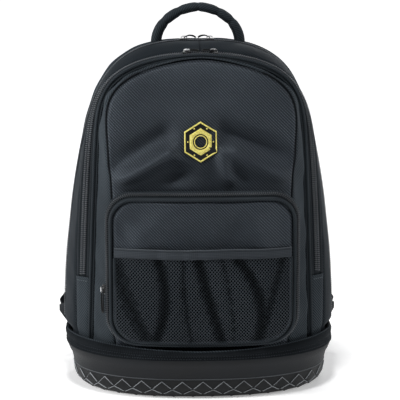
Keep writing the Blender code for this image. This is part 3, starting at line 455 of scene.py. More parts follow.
def joined(parts: Sequence[Surface]) -> Surface:
    """Put several surfaces into one, with their finishes kept apart.

    Args:
        parts: the surfaces.

    Returns:
        All their faces as one surface.
    """
    shifts = np.cumsum([0] + [len(part.points) for part in parts])
    return Surface(np.concatenate([part.points for part in parts]),
                   np.concatenate([part.quads + shift for part, shift in zip(parts, shifts)]),
                   np.concatenate([part.quad_places for part in parts]),
                   np.concatenate([part.triangles + shift for part, shift in zip(parts, shifts)]),
                   np.concatenate([part.triangle_places for part in parts]),
                   np.concatenate([finish_of(part.quads, part.quad_finish) for part in parts]),
                   np.concatenate([finish_of(part.triangles, part.triangle_finish) for part in parts]))


def unit(vectors: Array) -> Array:
    """Vectors of length 1."""
    return vectors / np.maximum(np.linalg.norm(vectors, axis=-1, keepdims=True), 1e-12)


def eased(value: Array) -> Array:
    """Ease from 0 to 1."""
    value = np.clip(value, 0.0, 1.0)
    return value * value * (3.0 - 2.0 * value)


def lengths_along(chain: Array) -> Array:
    """Distance of each point of a chain from its start."""
    steps = np.linalg.norm(np.diff(chain, axis=0), axis=1)
    return np.concatenate([[0.0], np.cumsum(steps)])


def read_at(want: Array, found: Array, values: Array) -> Array:
    """Rows of values read at wanted distances, from those found along a chain."""
    return np.stack([np.interp(want, found, column) for column in values.T], axis=1)


def resampled(chain: Array, count: int) -> Array:
    """Points at equal distances along a chain, ends included."""
    found = lengths_along(chain)
    return read_at(np.linspace(0.0, found[-1], count), found, chain)


def change_down(points: Array, wraps: bool) -> Array:
    """Change of points from row to row, all round where the rows join end to end.

    Args:
        points: points by row.
        wraps: the rows join end to end.

    Returns:
        The changes.
    """
    if wraps:
        return np.roll(points, -1, axis=0) - np.roll(points, 1, axis=0)
    return np.gradient(points, axis=0)


def grid_normals(grid: Array, wraps: bool = False) -> Array:
    """Unit normals of a grid of points, row direction by column direction."""
    return unit(np.cross(change_down(grid, wraps), np.gradient(grid, axis=1)))


def place_grid(grid: Array, wraps: bool = False) -> Array:
    """Distances along and across a grid, with one more row where it wraps.

    Args:
        grid: points by row and column.
        wraps: the rows join end to end.

    Returns:
        Pairs of distances in metres.
    """
    whole = np.concatenate([grid, grid[:1]]) if wraps else grid
    middle = whole[:, whole.shape[1] // 2]
    along = lengths_along(middle)[:, None] + np.zeros(whole.shape[1])
    across = np.linalg.norm(np.diff(whole, axis=1), axis=2)
    across = np.concatenate([np.zeros((len(whole), 1)), np.cumsum(across, axis=1)], axis=1)
    return np.stack([along, across - across[:, -1:] / 2], axis=2)


def faces_at(corners: Sequence[tuple[Array, Array]], places: Array, rows: int) -> tuple[Array, Array]:
    """Faces between corners of a grid, given as (row, column), with their places on the cloth."""
    faces = np.stack([row % rows * places.shape[1] + column for row, column in corners], axis=1)
    return faces, np.stack([places[corner] for corner in corners], axis=1)


def sheet_of(grid: Array, wraps: bool = False, places: Optional[Array] = None, flip: bool = False) -> Surface:
    """One layer of faces over a grid.

    Args:
        grid: points by row and column.
        wraps: the rows join end to end.
        places: distances on the cloth, measured on the grid unless given.
        flip: turn the faces round.

    Returns:
        The faces.
    """
    rows, columns = grid.shape[:2]
    places = place_grid(grid, wraps) if places is None else places
    spans = rows if wraps else rows - 1
    row, column = np.divmod(np.arange(spans * (columns - 1)), columns - 1)
    corners = ((row, column), (row, column + 1), (row + 1, column + 1), (row + 1, column))
    return Surface(grid.reshape(-1, 3), *faces_at(corners[::-1] if flip else corners, places, rows))


def closed_cloth(outer: Array, inner: Array, wraps: bool = False) -> Surface:
    """Closed cloth between two grids of points.

    Args:
        outer: the face that shows.
        inner: the face under it.
        wraps: the rows join end to end.

    Returns:
        Both layers and the edges between them.
    """
    rows, columns = outer.shape[:2]
    places = place_grid(outer, wraps)
    top, under = sheet_of(outer, wraps, places), sheet_of(inner, wraps, places, flip=True)
    row, column, last = np.arange(rows if wraps else rows - 1), np.arange(columns - 1), columns - 1
    borders = [((row + 1, 0), (row, 0)), ((row, last), (row + 1, last))]
    if not wraps:
        borders += [((0, column), (0, column + 1)), ((rows - 1, column + 1), (rows - 1, column))]
    count = rows * columns
    quads, spots = [top.quads, under.quads + count], [top.quad_places, under.quad_places]
    for first, second in borders:
        edge, edge_places = faces_at((second, first, first, second), places, rows)
        quads.append(edge + (0, 0, count, count))
        spots.append(edge_places)
    return Surface(np.concatenate([top.points, under.points]), np.concatenate(quads), np.concatenate(spots))


def sleeve(grid: Array, wraps: bool = True) -> Surface:
    """One layer of faces over a grid whose columns join end to end.

    Args:
        grid: points by row and column.
        wraps: the rows join end to end as well.

    Returns:
        The faces.
    """
    columns = grid.shape[1]
    surface = sheet_of(np.concatenate([grid, grid[:, :1]], axis=1), wraps)
    row, column = surface.quads // (columns + 1), surface.quads % (columns + 1)
    surface.quads = row * columns + column % columns
    surface.points = grid.reshape(-1, 3)
    return surface


def fan(first: Array, second: Array, hub: int) -> Array:
    """Triangles from pairs of points to one hub."""
    return np.stack([first, second, np.full(len(first), hub)], axis=1)


def swept(path: Array, sides: Array, ups: Array, section: Array, wraps: bool = False) -> Surface:
    """Solid along a path.

    Args:
        path: points of its middle line.
        sides: a unit vector for each point, the section's first axis.
        ups: a unit vector for each point, the section's second axis.
        section: outline as (side, up) pairs, or one such outline for each point.
        wraps: the path joins end to end.

    Returns:
        A closed surface, with flat ends unless it wraps.
    """
    outline = np.broadcast_to(section, (len(path),) + section.shape[-2:])
    rings = path[:, None] + sides[:, None] * outline[..., :1] + ups[:, None] * outline[..., 1:]
    surface = sleeve(rings, wraps)
    if not wraps:
        count, size = rings.shape[:2]
        step, total = np.arange(size), count * size
        beside, base = (step + 1) % size, total - size
        surface.points = np.concatenate([surface.points, rings[[0, -1]].mean(axis=1)])
        surface.triangles = np.concatenate([fan(beside, step, total),
                                            fan(base + step, base + beside, total + 1)])
        surface.triangle_places = np.zeros((2 * size, 3, 2))
    return surface


def round_section(wide: float, high: float, count: int = 10, power: float = 2.0) -> Array:
    """Outline of a rounded section.

    Args:
        wide: its width.
        high: its height.
        count: how many points.
        power: 2 for an ellipse, and more for squarer corners.

    Returns:
        (side, up) pairs.
    """
    angle = np.arange(count) * math.tau / count
    across, rise = np.cos(angle), np.sin(angle)
    return np.stack([np.sign(across) * np.abs(across) ** (2 / power) * wide / 2,
                     np.sign(rise) * np.abs(rise) ** (2 / power) * high / 2], axis=1)


def tube(path: Array, normals: Array, wide: float, high: float, count: int = 8,
         wraps: bool = False) -> Surface:
    """Round cord along a path.

    Args:
        path: points of its middle line.
        normals: the directions in which it is high.
        wide: its width, across the normals.
        high: its height, along the normals.
        count: points round it.
        wraps: the path joins end to end.

    Returns:
        The cord.
    """
    along = unit(change_down(path, wraps))
    sides = unit(np.cross(along, normals))
    ups = unit(np.cross(sides, along))
    return swept(path, sides, ups, round_section(wide, high, count), wraps)


def grain_at(size: Spot) -> Surface:
    """Grain of rice lying along X, with its foot at Z = 0.

    Args:
        size: its length in X, width in Y and height in Z.

    Returns:
        The grain.
    """
    long, wide, high = size
    path = np.array([[-long / 2, 0, high * 0.25], [-long / 4, 0, high * 0.5], [long / 4, 0, high * 0.5],
                     [long / 2, 0, high * 0.25]])
    scales = np.array([0.55, 1.0, 1.0, 0.55])[:, None, None]
    ones = np.ones((4, 1))
    return swept(path, ones * [0, 1, 0], ones * [0, 0, 1], round_section(wide, high, 5)[None] * scales)


def repeated(template: Surface, spots: Array, along: Array, out: Array) -> Surface:
    """Copy a small piece to many places.

    Args:
        template: the piece, along X with Z outward.
        spots: where each copy goes.
        along: each copy's X direction.
        out: each copy's outward direction.

    Returns:
        All copies as one surface.
    """
    out = unit(out - along * (out * along).sum(axis=1, keepdims=True))
    side = np.cross(out, along)
    axes = np.stack([along, side, out], axis=1)
    points = spots[:, None] + np.einsum("pk,nkc->npc", template.points, axes)
    shift = np.arange(len(spots)) * len(template.points)
    return Surface(points.reshape(-1, 3),
                   (template.quads[None] + shift[:, None, None]).reshape(-1, 4),
                   np.tile(template.quad_places, (len(spots), 1, 1)),
                   (template.triangles[None] + shift[:, None, None]).reshape(-1, 3),
                   np.tile(template.triangle_places, (len(spots), 1, 1)))


def row_along(path: Array, normals: Array, pitch: float, start: float = 0.0,
              wraps: bool = False) -> tuple[Array, Array, Array]:
    """Places at a pitch along a path on a surface.

    Args:
        path: points of the line.
        normals: the surface's direction at each point.
        pitch: distance from place to place.
        start: distance of the first place from the path's start.
        wraps: the path joins end to end.

    Returns:
        The places, the directions along the line and the outward directions.
    """
    if wraps:
        path, normals = np.concatenate([path, path[:1]]), np.concatenate([normals, normals[:1]])
    found = lengths_along(path)
    want = np.arange(start, found[-1] - pitch * 0.4, pitch)
    run = read_at(want + pitch * 0.3, found, path) - read_at(want - pitch * 0.3, found, path)
    return read_at(want, found, path), unit(run), unit(read_at(want, found, normals))


def stitches(path: Array, normals: Array, pitch: float = 0.0040, wraps: bool = False) -> Surface:
    """Row of sewn stitches along a line on a surface."""
    spots, along, out = row_along(path, normals, pitch, pitch / 2, wraps)
    return repeated(grain_at((pitch * 0.62, *STITCH)), spots - out * STITCH_SINK, along, out)


def zip_coil(path: Array, normals: Array, pitch: float = 0.0028, reach: float = 0.0046,
             wraps: bool = False) -> Surface:
    """Two interlocked rows of coil elements along a zip's middle line.

    Args:
        path: points of the middle line.
        normals: the zip's direction at each point.
        pitch: distance from element to element of a row.
        reach: length of an element.
        wraps: the path joins end to end.

    Returns:
        All the elements.
    """
    element = grain_at((reach, pitch * 0.56, 0.0021))
    rows = []
    for side, start in ((1, 0.0), (-1, pitch / 2)):
        spots, along, out = row_along(path, normals, pitch, start, wraps)
        across = np.cross(out, along) * side
        rows.append(repeated(element, spots + across * reach * 0.54 + out * 0.0003, across, out))
    return joined(rows)


def rumple(points: Array, size: float, seed: float) -> Array:
    """Soft unevenness from crossed waves, about -1 to 1.

    Args:
        points: where to read it.
        size: typical distance between humps.
        seed: shifts the waves.

    Returns:
        A number for each point.
    """
    turn = math.tau / size
    total = np.zeros(points.shape[:-1])
    for step, (a, b, c) in enumerate(((1.0, .31, .52), (-.42, .9, .38), (.33, -.57, .95), (-.71, .44, -.83))):
        phase = seed * (1.7 + step) + step * 2.1
        total += np.sin(turn * (points @ np.array((a, b, c))) + phase
                        + 0.8 * np.sin(turn * 0.37 * (points @ np.array((c, a, b))) + phase * 1.3))
    return total / 4


# Placing pieces on the frame

class Workshop:
    """Makes Blender objects from surfaces and hands them to the frame."""

    def __init__(self, nodes: dict[str, bpy.types.Object]) -> None:
        """Find where the bag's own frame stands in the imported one.

        Args:
            nodes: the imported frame's CAD nodes, by name.
        """
        self.nodes = nodes
        low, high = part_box("handle")
        self.origin = np.array((0.0, (low.y + high.y) / 2 - HANDLE_Y, 0.0))
        self.materials: dict[str, bpy.types.Material] = {}

    def material(self, finish: Finish) -> bpy.types.Material:
        """A finish's material, made once.

        Args:
            finish: the finish.

        Returns:
            The material.
        """
        if finish.name not in self.materials:
            self.materials[finish.name] = finish.material()
        return self.materials[finish.name]

    def piece(self, name: str, surface: Surface, finishes: Finishes, slot: str,
              replaces: Sequence[str] = ()) -> bpy.types.Object:
        """Make a piece that rides on the bag.

        Args:
            name: the piece's name.
            surface: its shape in the bag's frame.
            finishes: one finish, or several by the faces' numbers.
            slot: the record's material slot, not used.
            replaces: CAD nodes that it stands for.

        Returns:
            The object.
        """
        surface.points = surface.points + self.origin
        made = bpy.data.objects.new(name, surface.mesh(name))
        return self.dressed(made, finishes, replaces, "bag")

    def trim(self, name: str, surface: Surface, finish: Finish = DARK_THREAD,
             replaces: Sequence[str] = ()) -> bpy.types.Object:
        """Make a piece in dark stitches unless another finish is given."""
        return self.piece(name, surface, finish, "black_webbing", replaces)

    def dressed(self, made: bpy.types.Object, finishes: Finishes, replaces: Sequence[str],
                body: str) -> bpy.types.Object:
        """Link an object, give it its finishes and let it ride.

        Args:
            made: the object, in place.
            finishes: one finish, or several by the faces' numbers.
            replaces: CAD nodes that it stands for.
            body: the body that it rides on.

        Returns:
            The object.
        """
        bpy.context.scene.collection.objects.link(made)
        if made.data.materials:
            made.data.materials.clear()
        for finish in finishes if isinstance(finishes, (list, tuple)) else [finishes]:
            made.data.materials.append(self.material(finish))
        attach(made, body)
        if replaces:
            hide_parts(*replaces)
        log.info("%s: %d faces on %s", made.name, len(made.data.polygons), body)
        return made

    def refined(self, name: str, node: str, finishes: Finishes, slot: str, body: str = "bag",
                bevel: float = 0.0, levels: int = 0) -> bpy.types.Object:
        """Copy of a CAD node with rounded edges or a smooth surface.

        Args:
            name: the piece's name.
            node: the CAD node.
            finishes: one finish, or several by the faces' numbers.
            slot: the record's material slot, not used.
            body: the body that it rides on.
            bevel: width of its rounded edges.
            levels: steps of subdivision.

        Returns:
            The object.
        """
        made = bpy.data.objects.new(name, self.nodes[node].data.copy())
        work = bmesh.new()
        work.from_mesh(made.data)
        bmesh.ops.remove_doubles(work, verts=work.verts[:], dist=1e-6)
        bmesh.ops.dissolve_limit(work, angle_limit=math.radians(1.0), verts=work.verts[:],
                                 edges=work.edges[:])
        work.to_mesh(made.data)
        work.free()
        made.data.shade_smooth()
        if bevel:
            modifier = made.modifiers.new("rounding", "BEVEL")
            modifier.width = bevel
            modifier.segments = 2
            modifier.limit_method = "ANGLE"
            modifier.harden_normals = True
        if levels:
            modifier = made.modifiers.new("smooth", "SUBSURF")
            modifier.levels = modifier.render_levels = levels
        return self.dressed(made, finishes, [node], body)


# Skin of seams

@dataclass(frozen=True)
class Seam:
    """A seam over the bag. Heights are shares of BODY_HEIGHT, widths of half BODY_WIDTH."""

    top: float
    rim: float
    belly: float
    shoulder: float
    shoulder_height: float
    corner: float
    squareness: float
    depth: float
    top_depth: float

    def half_width(self, height: Array) -> Array:
        """Half the bag's width along the seam at a height.

        Args:
            height: Z of the points.

        Returns:
            Half the width at each.
        """
        shoulder = self.shoulder_height * BODY_HEIGHT
        along = (height - BAND_TOP) / (shoulder - BAND_TOP)
        share = self.rim + (self.shoulder - self.rim) * along + self.belly * 4 * along * (1 - along)
        rise = np.clip((height - shoulder) / (self.top * BODY_HEIGHT - shoulder), 0.0, 1.0)
        return share * BODY_WIDTH / 2 * (1 - rise ** self.corner) ** (1 / self.squareness)

    def depth_at(self, height: Array) -> Array:
        """Y of the seam at a height."""
        turn = (np.maximum(height, 0.0) / (self.top * BODY_HEIGHT)) ** 5
        return -BODY_DEPTH * (self.depth + (self.top_depth - self.depth) * turn)


SEAMS = {
    "back": Seam(.984, .925, .006, .900, .391, 8, 2.90, .035, .035),
    "back_round": Seam(.997, .972, .006, .950, .391, 8, 2.90, .090, .090),
    "rear_zip_outer": Seam(.9996, .996, .007, .972, .391, 8, 2.90, .210, .210),
    "rear_zip_inner": Seam(1.0, 1.0, .007, .9745, .391, 8, 2.90, .290, .290),
    "gusset_round": Seam(.993, .970, .009, .930, .450, 8, 2.60, .395, .390),
    "front_zip_outer": Seam(.9737, .905, .011, .880, .5435, 6, 2.05, .500, .485),
    "front_zip_inner": Seam(.9680, .826, .000, .786, .5435, 6, 2.60, .575, .545),
    "valley": Seam(.9645, .794, .002, .7577, .5435, 8, 1.53, .610, .580),
    "panel_edge": Seam(.9600, .640, -.022, .664, .6957, 4, 1.59, .790, .590),
}


@dataclass(frozen=True)
class Outline:
    """A rounded outline seen from above: half width, reach forward and back, middle and squareness."""

    wide: float
    forward: float
    rearward: float
    middle: float
    front_power: float
    rear_power: float = 5.0

    def ring(self, angles: Array, inset: Union[float, Array], height: Union[float, Array]) -> Array:
        """Points at angles, drawn in by inset.

        Args:
            angles: 0 at +X and a right angle at the back.
            inset: how far inside the outline.
            height: Z of the points.

        Returns:
            The points.
        """
        front = np.sin(angles) < 0
        power = np.where(front, self.front_power, self.rear_power)
        deep = np.where(front, self.forward, self.rearward) - inset
        x = (self.wide - inset) * np.sign(np.cos(angles)) * np.abs(np.cos(angles)) ** (2 / power)
        y = deep * np.sign(np.sin(angles)) * np.abs(np.sin(angles)) ** (2 / power)
        return np.stack([x, self.middle + y, np.broadcast_to(height, x.shape)], axis=-1)

    def even_angles(self, count: int) -> Array:
        """Angles of count points at equal distances, starting at the front's middle.

        Args:
            count: how many.

        Returns:
            The angles.
        """
        dense = -math.pi / 2 + np.linspace(0, math.tau, 4801)
        found = lengths_along(self.ring(dense, 0.0, 0.0))
        return np.interp(np.arange(count) * found[-1] / count, found, dense)

    def inside(self, points: Array, inset: float) -> Array:
        """Factor that brings each point inside the outline, 1 where it is inside.

        Args:
            points: the points.
            inset: how far inside the outline.

        Returns:
            A factor for each point.
        """
        away = points[..., 1] - self.middle
        power = np.where(away < 0, self.front_power, self.rear_power)
        deep = np.where(away < 0, self.forward, self.rearward) - inset
        reach = (np.abs(points[..., 0]) / (self.wide - inset)) ** power + (np.abs(away) / deep) ** power
        return np.minimum(1.0, np.maximum(reach, 1e-9) ** (-1 / power))


BAND_HEAD = Outline(.1812, .1475, .0575, -.054, 1.8)
BAND_FOOT = Outline(.1815, .1385, .0630, -.060, 2.4)
TUB_RIM = Outline(.1805, .1375, .0625, -.060, 2.4)
TUCK_INSET = 0.0033


def tucked(points: Array) -> Array:
    """Bring the skin's foot inside the band, and leave the rest where it is.

    Args:
        points: points of the skin.

    Returns:
        The points in their new places.
    """
    free = eased((points[..., 2] - BAND_TOP - 0.0009) / 0.011)
    inset = np.where(points[..., 2] < BASE_RIM, 0.0088, TUCK_INSET)
    share = np.minimum(BAND_HEAD.inside(points, 0.0033), BAND_FOOT.inside(points, inset.max()))
    share = share + (1 - share) * free
    result = points.copy()
    result[..., 0] = points[..., 0] * share
    result[..., 1] = BAND_FOOT.middle * (1 - share) + points[..., 1] * share
    return result


@dataclass
class Skin:
    """The bag's seams as dense lines of points, all with the same stations."""

    foot: float = 0.050
    zip_stop: float = 0.148
    side_steps: int = 26
    arch_steps: int = 110
    lines: dict[str, Array] = field(default_factory=dict)

    def __post_init__(self) -> None:
        """Work out every seam."""
        for name, seam in SEAMS.items():
            self.lines[name] = self.line(seam)

    @property
    def stop(self) -> int:
        """Station of the front zip's lower end on the left."""
        return 7 + self.side_steps

    def line(self, seam: Seam) -> Array:
        """A seam from its tucked foot on the left, over the top, to the right.

        Args:
            seam: the seam.

        Returns:
            Its points.
        """
        start = BAND_TOP + 0.0113
        low = np.concatenate([np.linspace(self.foot, BAND_TOP, 3)[:-1], np.linspace(BAND_TOP, start, 6)[:-1]])
        side = np.linspace(start, self.zip_stop, 60)
        shoulder, top = seam.shoulder_height * BODY_HEIGHT, seam.top * BODY_HEIGHT
        straight = np.linspace(self.zip_stop, shoulder, 200)[:-1]
        curved = shoulder + (top - shoulder) * np.sin(np.linspace(0, math.pi / 2, 400)) ** (2 / seam.corner)
        arch = np.concatenate([straight, curved])

        def chain(heights: Array) -> Array:
            """Points of the left half at given heights.

            Args:
                heights: Z of the points.

            Returns:
                The points.
            """
            wide = seam.half_width(heights)
            wide[heights >= top - 1e-9] = 0.0
            return np.stack([-wide, seam.depth_at(heights), heights], axis=1)

        left = np.concatenate([chain(low), resampled(chain(side), self.side_steps + 1)[:-1],
                               resampled(chain(arch), self.arch_steps + 1)])
        left = tucked(left)
        right = left[:-1][::-1] * np.array([-1.0, 1.0, 1.0])
        return np.concatenate([left, right])

    def strip(self, names: Sequence[str], across: int, crown: float = 0.0) -> Array:
        """Grid of points between seams, by station and by place across.

        Args:
            names: two or three seams.
            across: how many places across.
            crown: how far the cloth stands proud midway.

        Returns:
            The points.
        """
        lines = [self.lines[name] for name in names]
        share = np.linspace(0.0, 1.0, across)[None, :, None]
        if len(lines) == 2:
            grid = lines[0][:, None] * (1 - share) + lines[1][:, None] * share
        else:
            near = np.linalg.norm(lines[1] - lines[0], axis=1)
            far = np.linalg.norm(lines[2] - lines[1], axis=1)
            middle = (near / (near + far))[:, None, None]
            grid = (lines[0][:, None] * (share - middle) * (share - 1) / middle
                    + lines[1][:, None] * share * (share - 1) / (middle * (middle - 1))
                    + lines[2][:, None] * share * (share - middle) / (1 - middle))
        if crown:
            out = outward(grid, grid_normals(grid))
            grid = grid + out * crown * (1 - (2 * share - 1) ** 2)
        return grid


def outward(points: Array, normals: Array) -> Array:
    """Normals turned away from the bag's middle."""
    facing = ((points - BAG_MIDDLE) * normals).sum(axis=-1, keepdims=True)
    return normals if facing.mean() > 0 else -normals


@dataclass(frozen=True)
class Fold:
    """A ridge (height above 0) or dent along a line, as shares of half the width and of the height."""

    x0: float
    z0: float
    x1: float
    z1: float
    width: float
    height: float

    def height_at(self, x: Array, z: Array) -> Array:
        """How far the fold raises the cloth at points.

        Args:
            x: X of the points.
            z: Z of the points.

        Returns:
            The rise of each.
        """
        start = np.array((self.x0 * BODY_WIDTH / 2, self.z0 * BODY_HEIGHT))
        run = np.array((self.x1 * BODY_WIDTH / 2, self.z1 * BODY_HEIGHT)) - start
        away = np.stack([x, z], axis=-1) - start
        along = np.clip((away @ run) / (run @ run), 0.0, 1.0)
        reach = np.linalg.norm(away - run * along[..., None], axis=-1) / (self.width * BODY_WIDTH / 2)
        return self.height * np.exp(-reach ** 2)


PANEL_FOLDS = (
    Fold(-.66, .606, -.24, .700, .062, .0135),
    Fold(-.64, .668, -.28, .750, .085, -.0130),
    Fold(.13, .695, .20, .612, .050, .0095),
    Fold(.24, .706, .68, .615, .064, .0115),
    Fold(.14, .760, .62, .690, .085, -.0150),
    Fold(-.14, .650, -.20, .600, .085, -.0085),
    Fold(.26, .650, .30, .610, .045, -.0050),
    Fold(-.14, .690, -.02, .680, .070, .0050),
    Fold(-.40, .835, .05, .850, .130, -.0050),
)


POCKET_FOLDS = (
    Fold(-.48, .450, -.24, .530, .100, .0060),
    Fold(-.60, .500, -.52, .462, .055, -.0030),
    Fold(-.20, .480, -.10, .455, .090, -.0026),
    Fold(.44, .455, .38, .530, .095, .0052),
    Fold(.22, .500, .16, .460, .075, -.0034),
)


def panel_face(x: Array, z: Array) -> Array:
    """Y of the front panel's outer face.

    Args:
        x: X of the points.
        z: Z of the points.

    Returns:
        Y of each.
    """
    edge = SEAMS["panel_edge"]
    top = edge.top * BODY_HEIGHT
    z = np.minimum(z, top)
    across = np.minimum(np.abs(x) / np.maximum(edge.half_width(z), 0.004), 1.0)
    fullness = eased((top - z) / (0.16 * BODY_HEIGHT))
    rim = np.minimum((1 - across) * edge.half_width(z), top - z)
    y = edge.depth_at(z) - 0.009 * fullness * (1 - across ** 2) - 0.0042 * (1 - np.exp(-rim / 0.012))
    badge = np.exp(-((x + 0.002) / 0.024) ** 4 - ((z - BADGE_Z) / 0.030) ** 4)
    fade = (1 - across ** 6) * eased((z - 0.60 * BODY_HEIGHT) / (0.035 * BODY_HEIGHT)) * (1 - badge)
    for fold in PANEL_FOLDS:
        y = y - fade * fold.height_at(x, z)
    return y


def back_face(x: Array, z: Array) -> Array:
    """Y of the padded back's outer face.

    Args:
        x: X of the points.
        z: Z of the points.

    Returns:
        Y of each.
    """
    edge = SEAMS["back"]
    top = edge.top * BODY_HEIGHT
    wide = np.maximum(edge.half_width(np.minimum(z, top)), 0.004)
    across = np.minimum(np.abs(x) / wide, 1.0)
    fullness = eased((top - z) / (0.12 * BODY_HEIGHT)) * eased((z - BAND_TOP) / (0.08 * BODY_HEIGHT))
    crown = 1 - across ** 4 - 0.5 * np.exp(-(across / 0.16) ** 2)
    return edge.depth_at(np.minimum(z, top)) + BODY_DEPTH * edge.depth * fullness * crown


def disc_grid(edge: Array, hub: tuple[float, float], face: Callable[[Array, Array], Array],
              rings: int) -> tuple[Array, Array]:
    """Grid inside a loop of points, by place on the loop and by ring.

    Args:
        edge: the loop.
        hub: X and Z of the middle.
        face: Y for X and Z.
        rings: how many rings.

    Returns:
        The points, and each one's share of the way out from the hub.
    """
    share = 1 - (np.arange(rings) / rings) ** 1.25
    x = hub[0] + (edge[:, 0] - hub[0])[:, None] * share
    z = hub[1] + (edge[:, 2] - hub[1])[:, None] * share
    grid = np.stack([x, face(x, z), z], axis=-1)
    grid[:, 0] = edge
    return grid, np.broadcast_to(share, x.shape)


def filled_disc(outer: Array, inner: Array) -> Surface:
    """Closed cloth over a disc grid, with both middles filled.

    Args:
        outer: the face that shows.
        inner: the face under it.

    Returns:
        The cloth.
    """
    body = closed_cloth(outer, inner, wraps=True)
    body.quad_places = flat_places(body.points, body.quads)
    rows, columns = outer.shape[:2]
    count = rows * columns
    hubs = np.stack([outer[:, -1].mean(axis=0), inner[:, -1].mean(axis=0)])
    place = np.arange(rows)
    after = (place + 1) % rows
    last = columns - 1
    keep = ~(body.quads % columns == last).all(axis=1)
    points = np.concatenate([body.points, hubs])
    first, second = place * columns + last, after * columns + last
    triangles = np.concatenate([fan(second, first, 2 * count),
                                fan(count + first, count + second, 2 * count + 1)])
    return Surface(points, body.quads[keep], body.quad_places[keep], triangles,
                   flat_places(points, triangles))


def flat_places(points: Array, faces: Array) -> Array:
    """Places on a cloth that faces forward: X and Z of each corner."""
    return points[faces][..., (0, 2)]


# Sub-assemblies

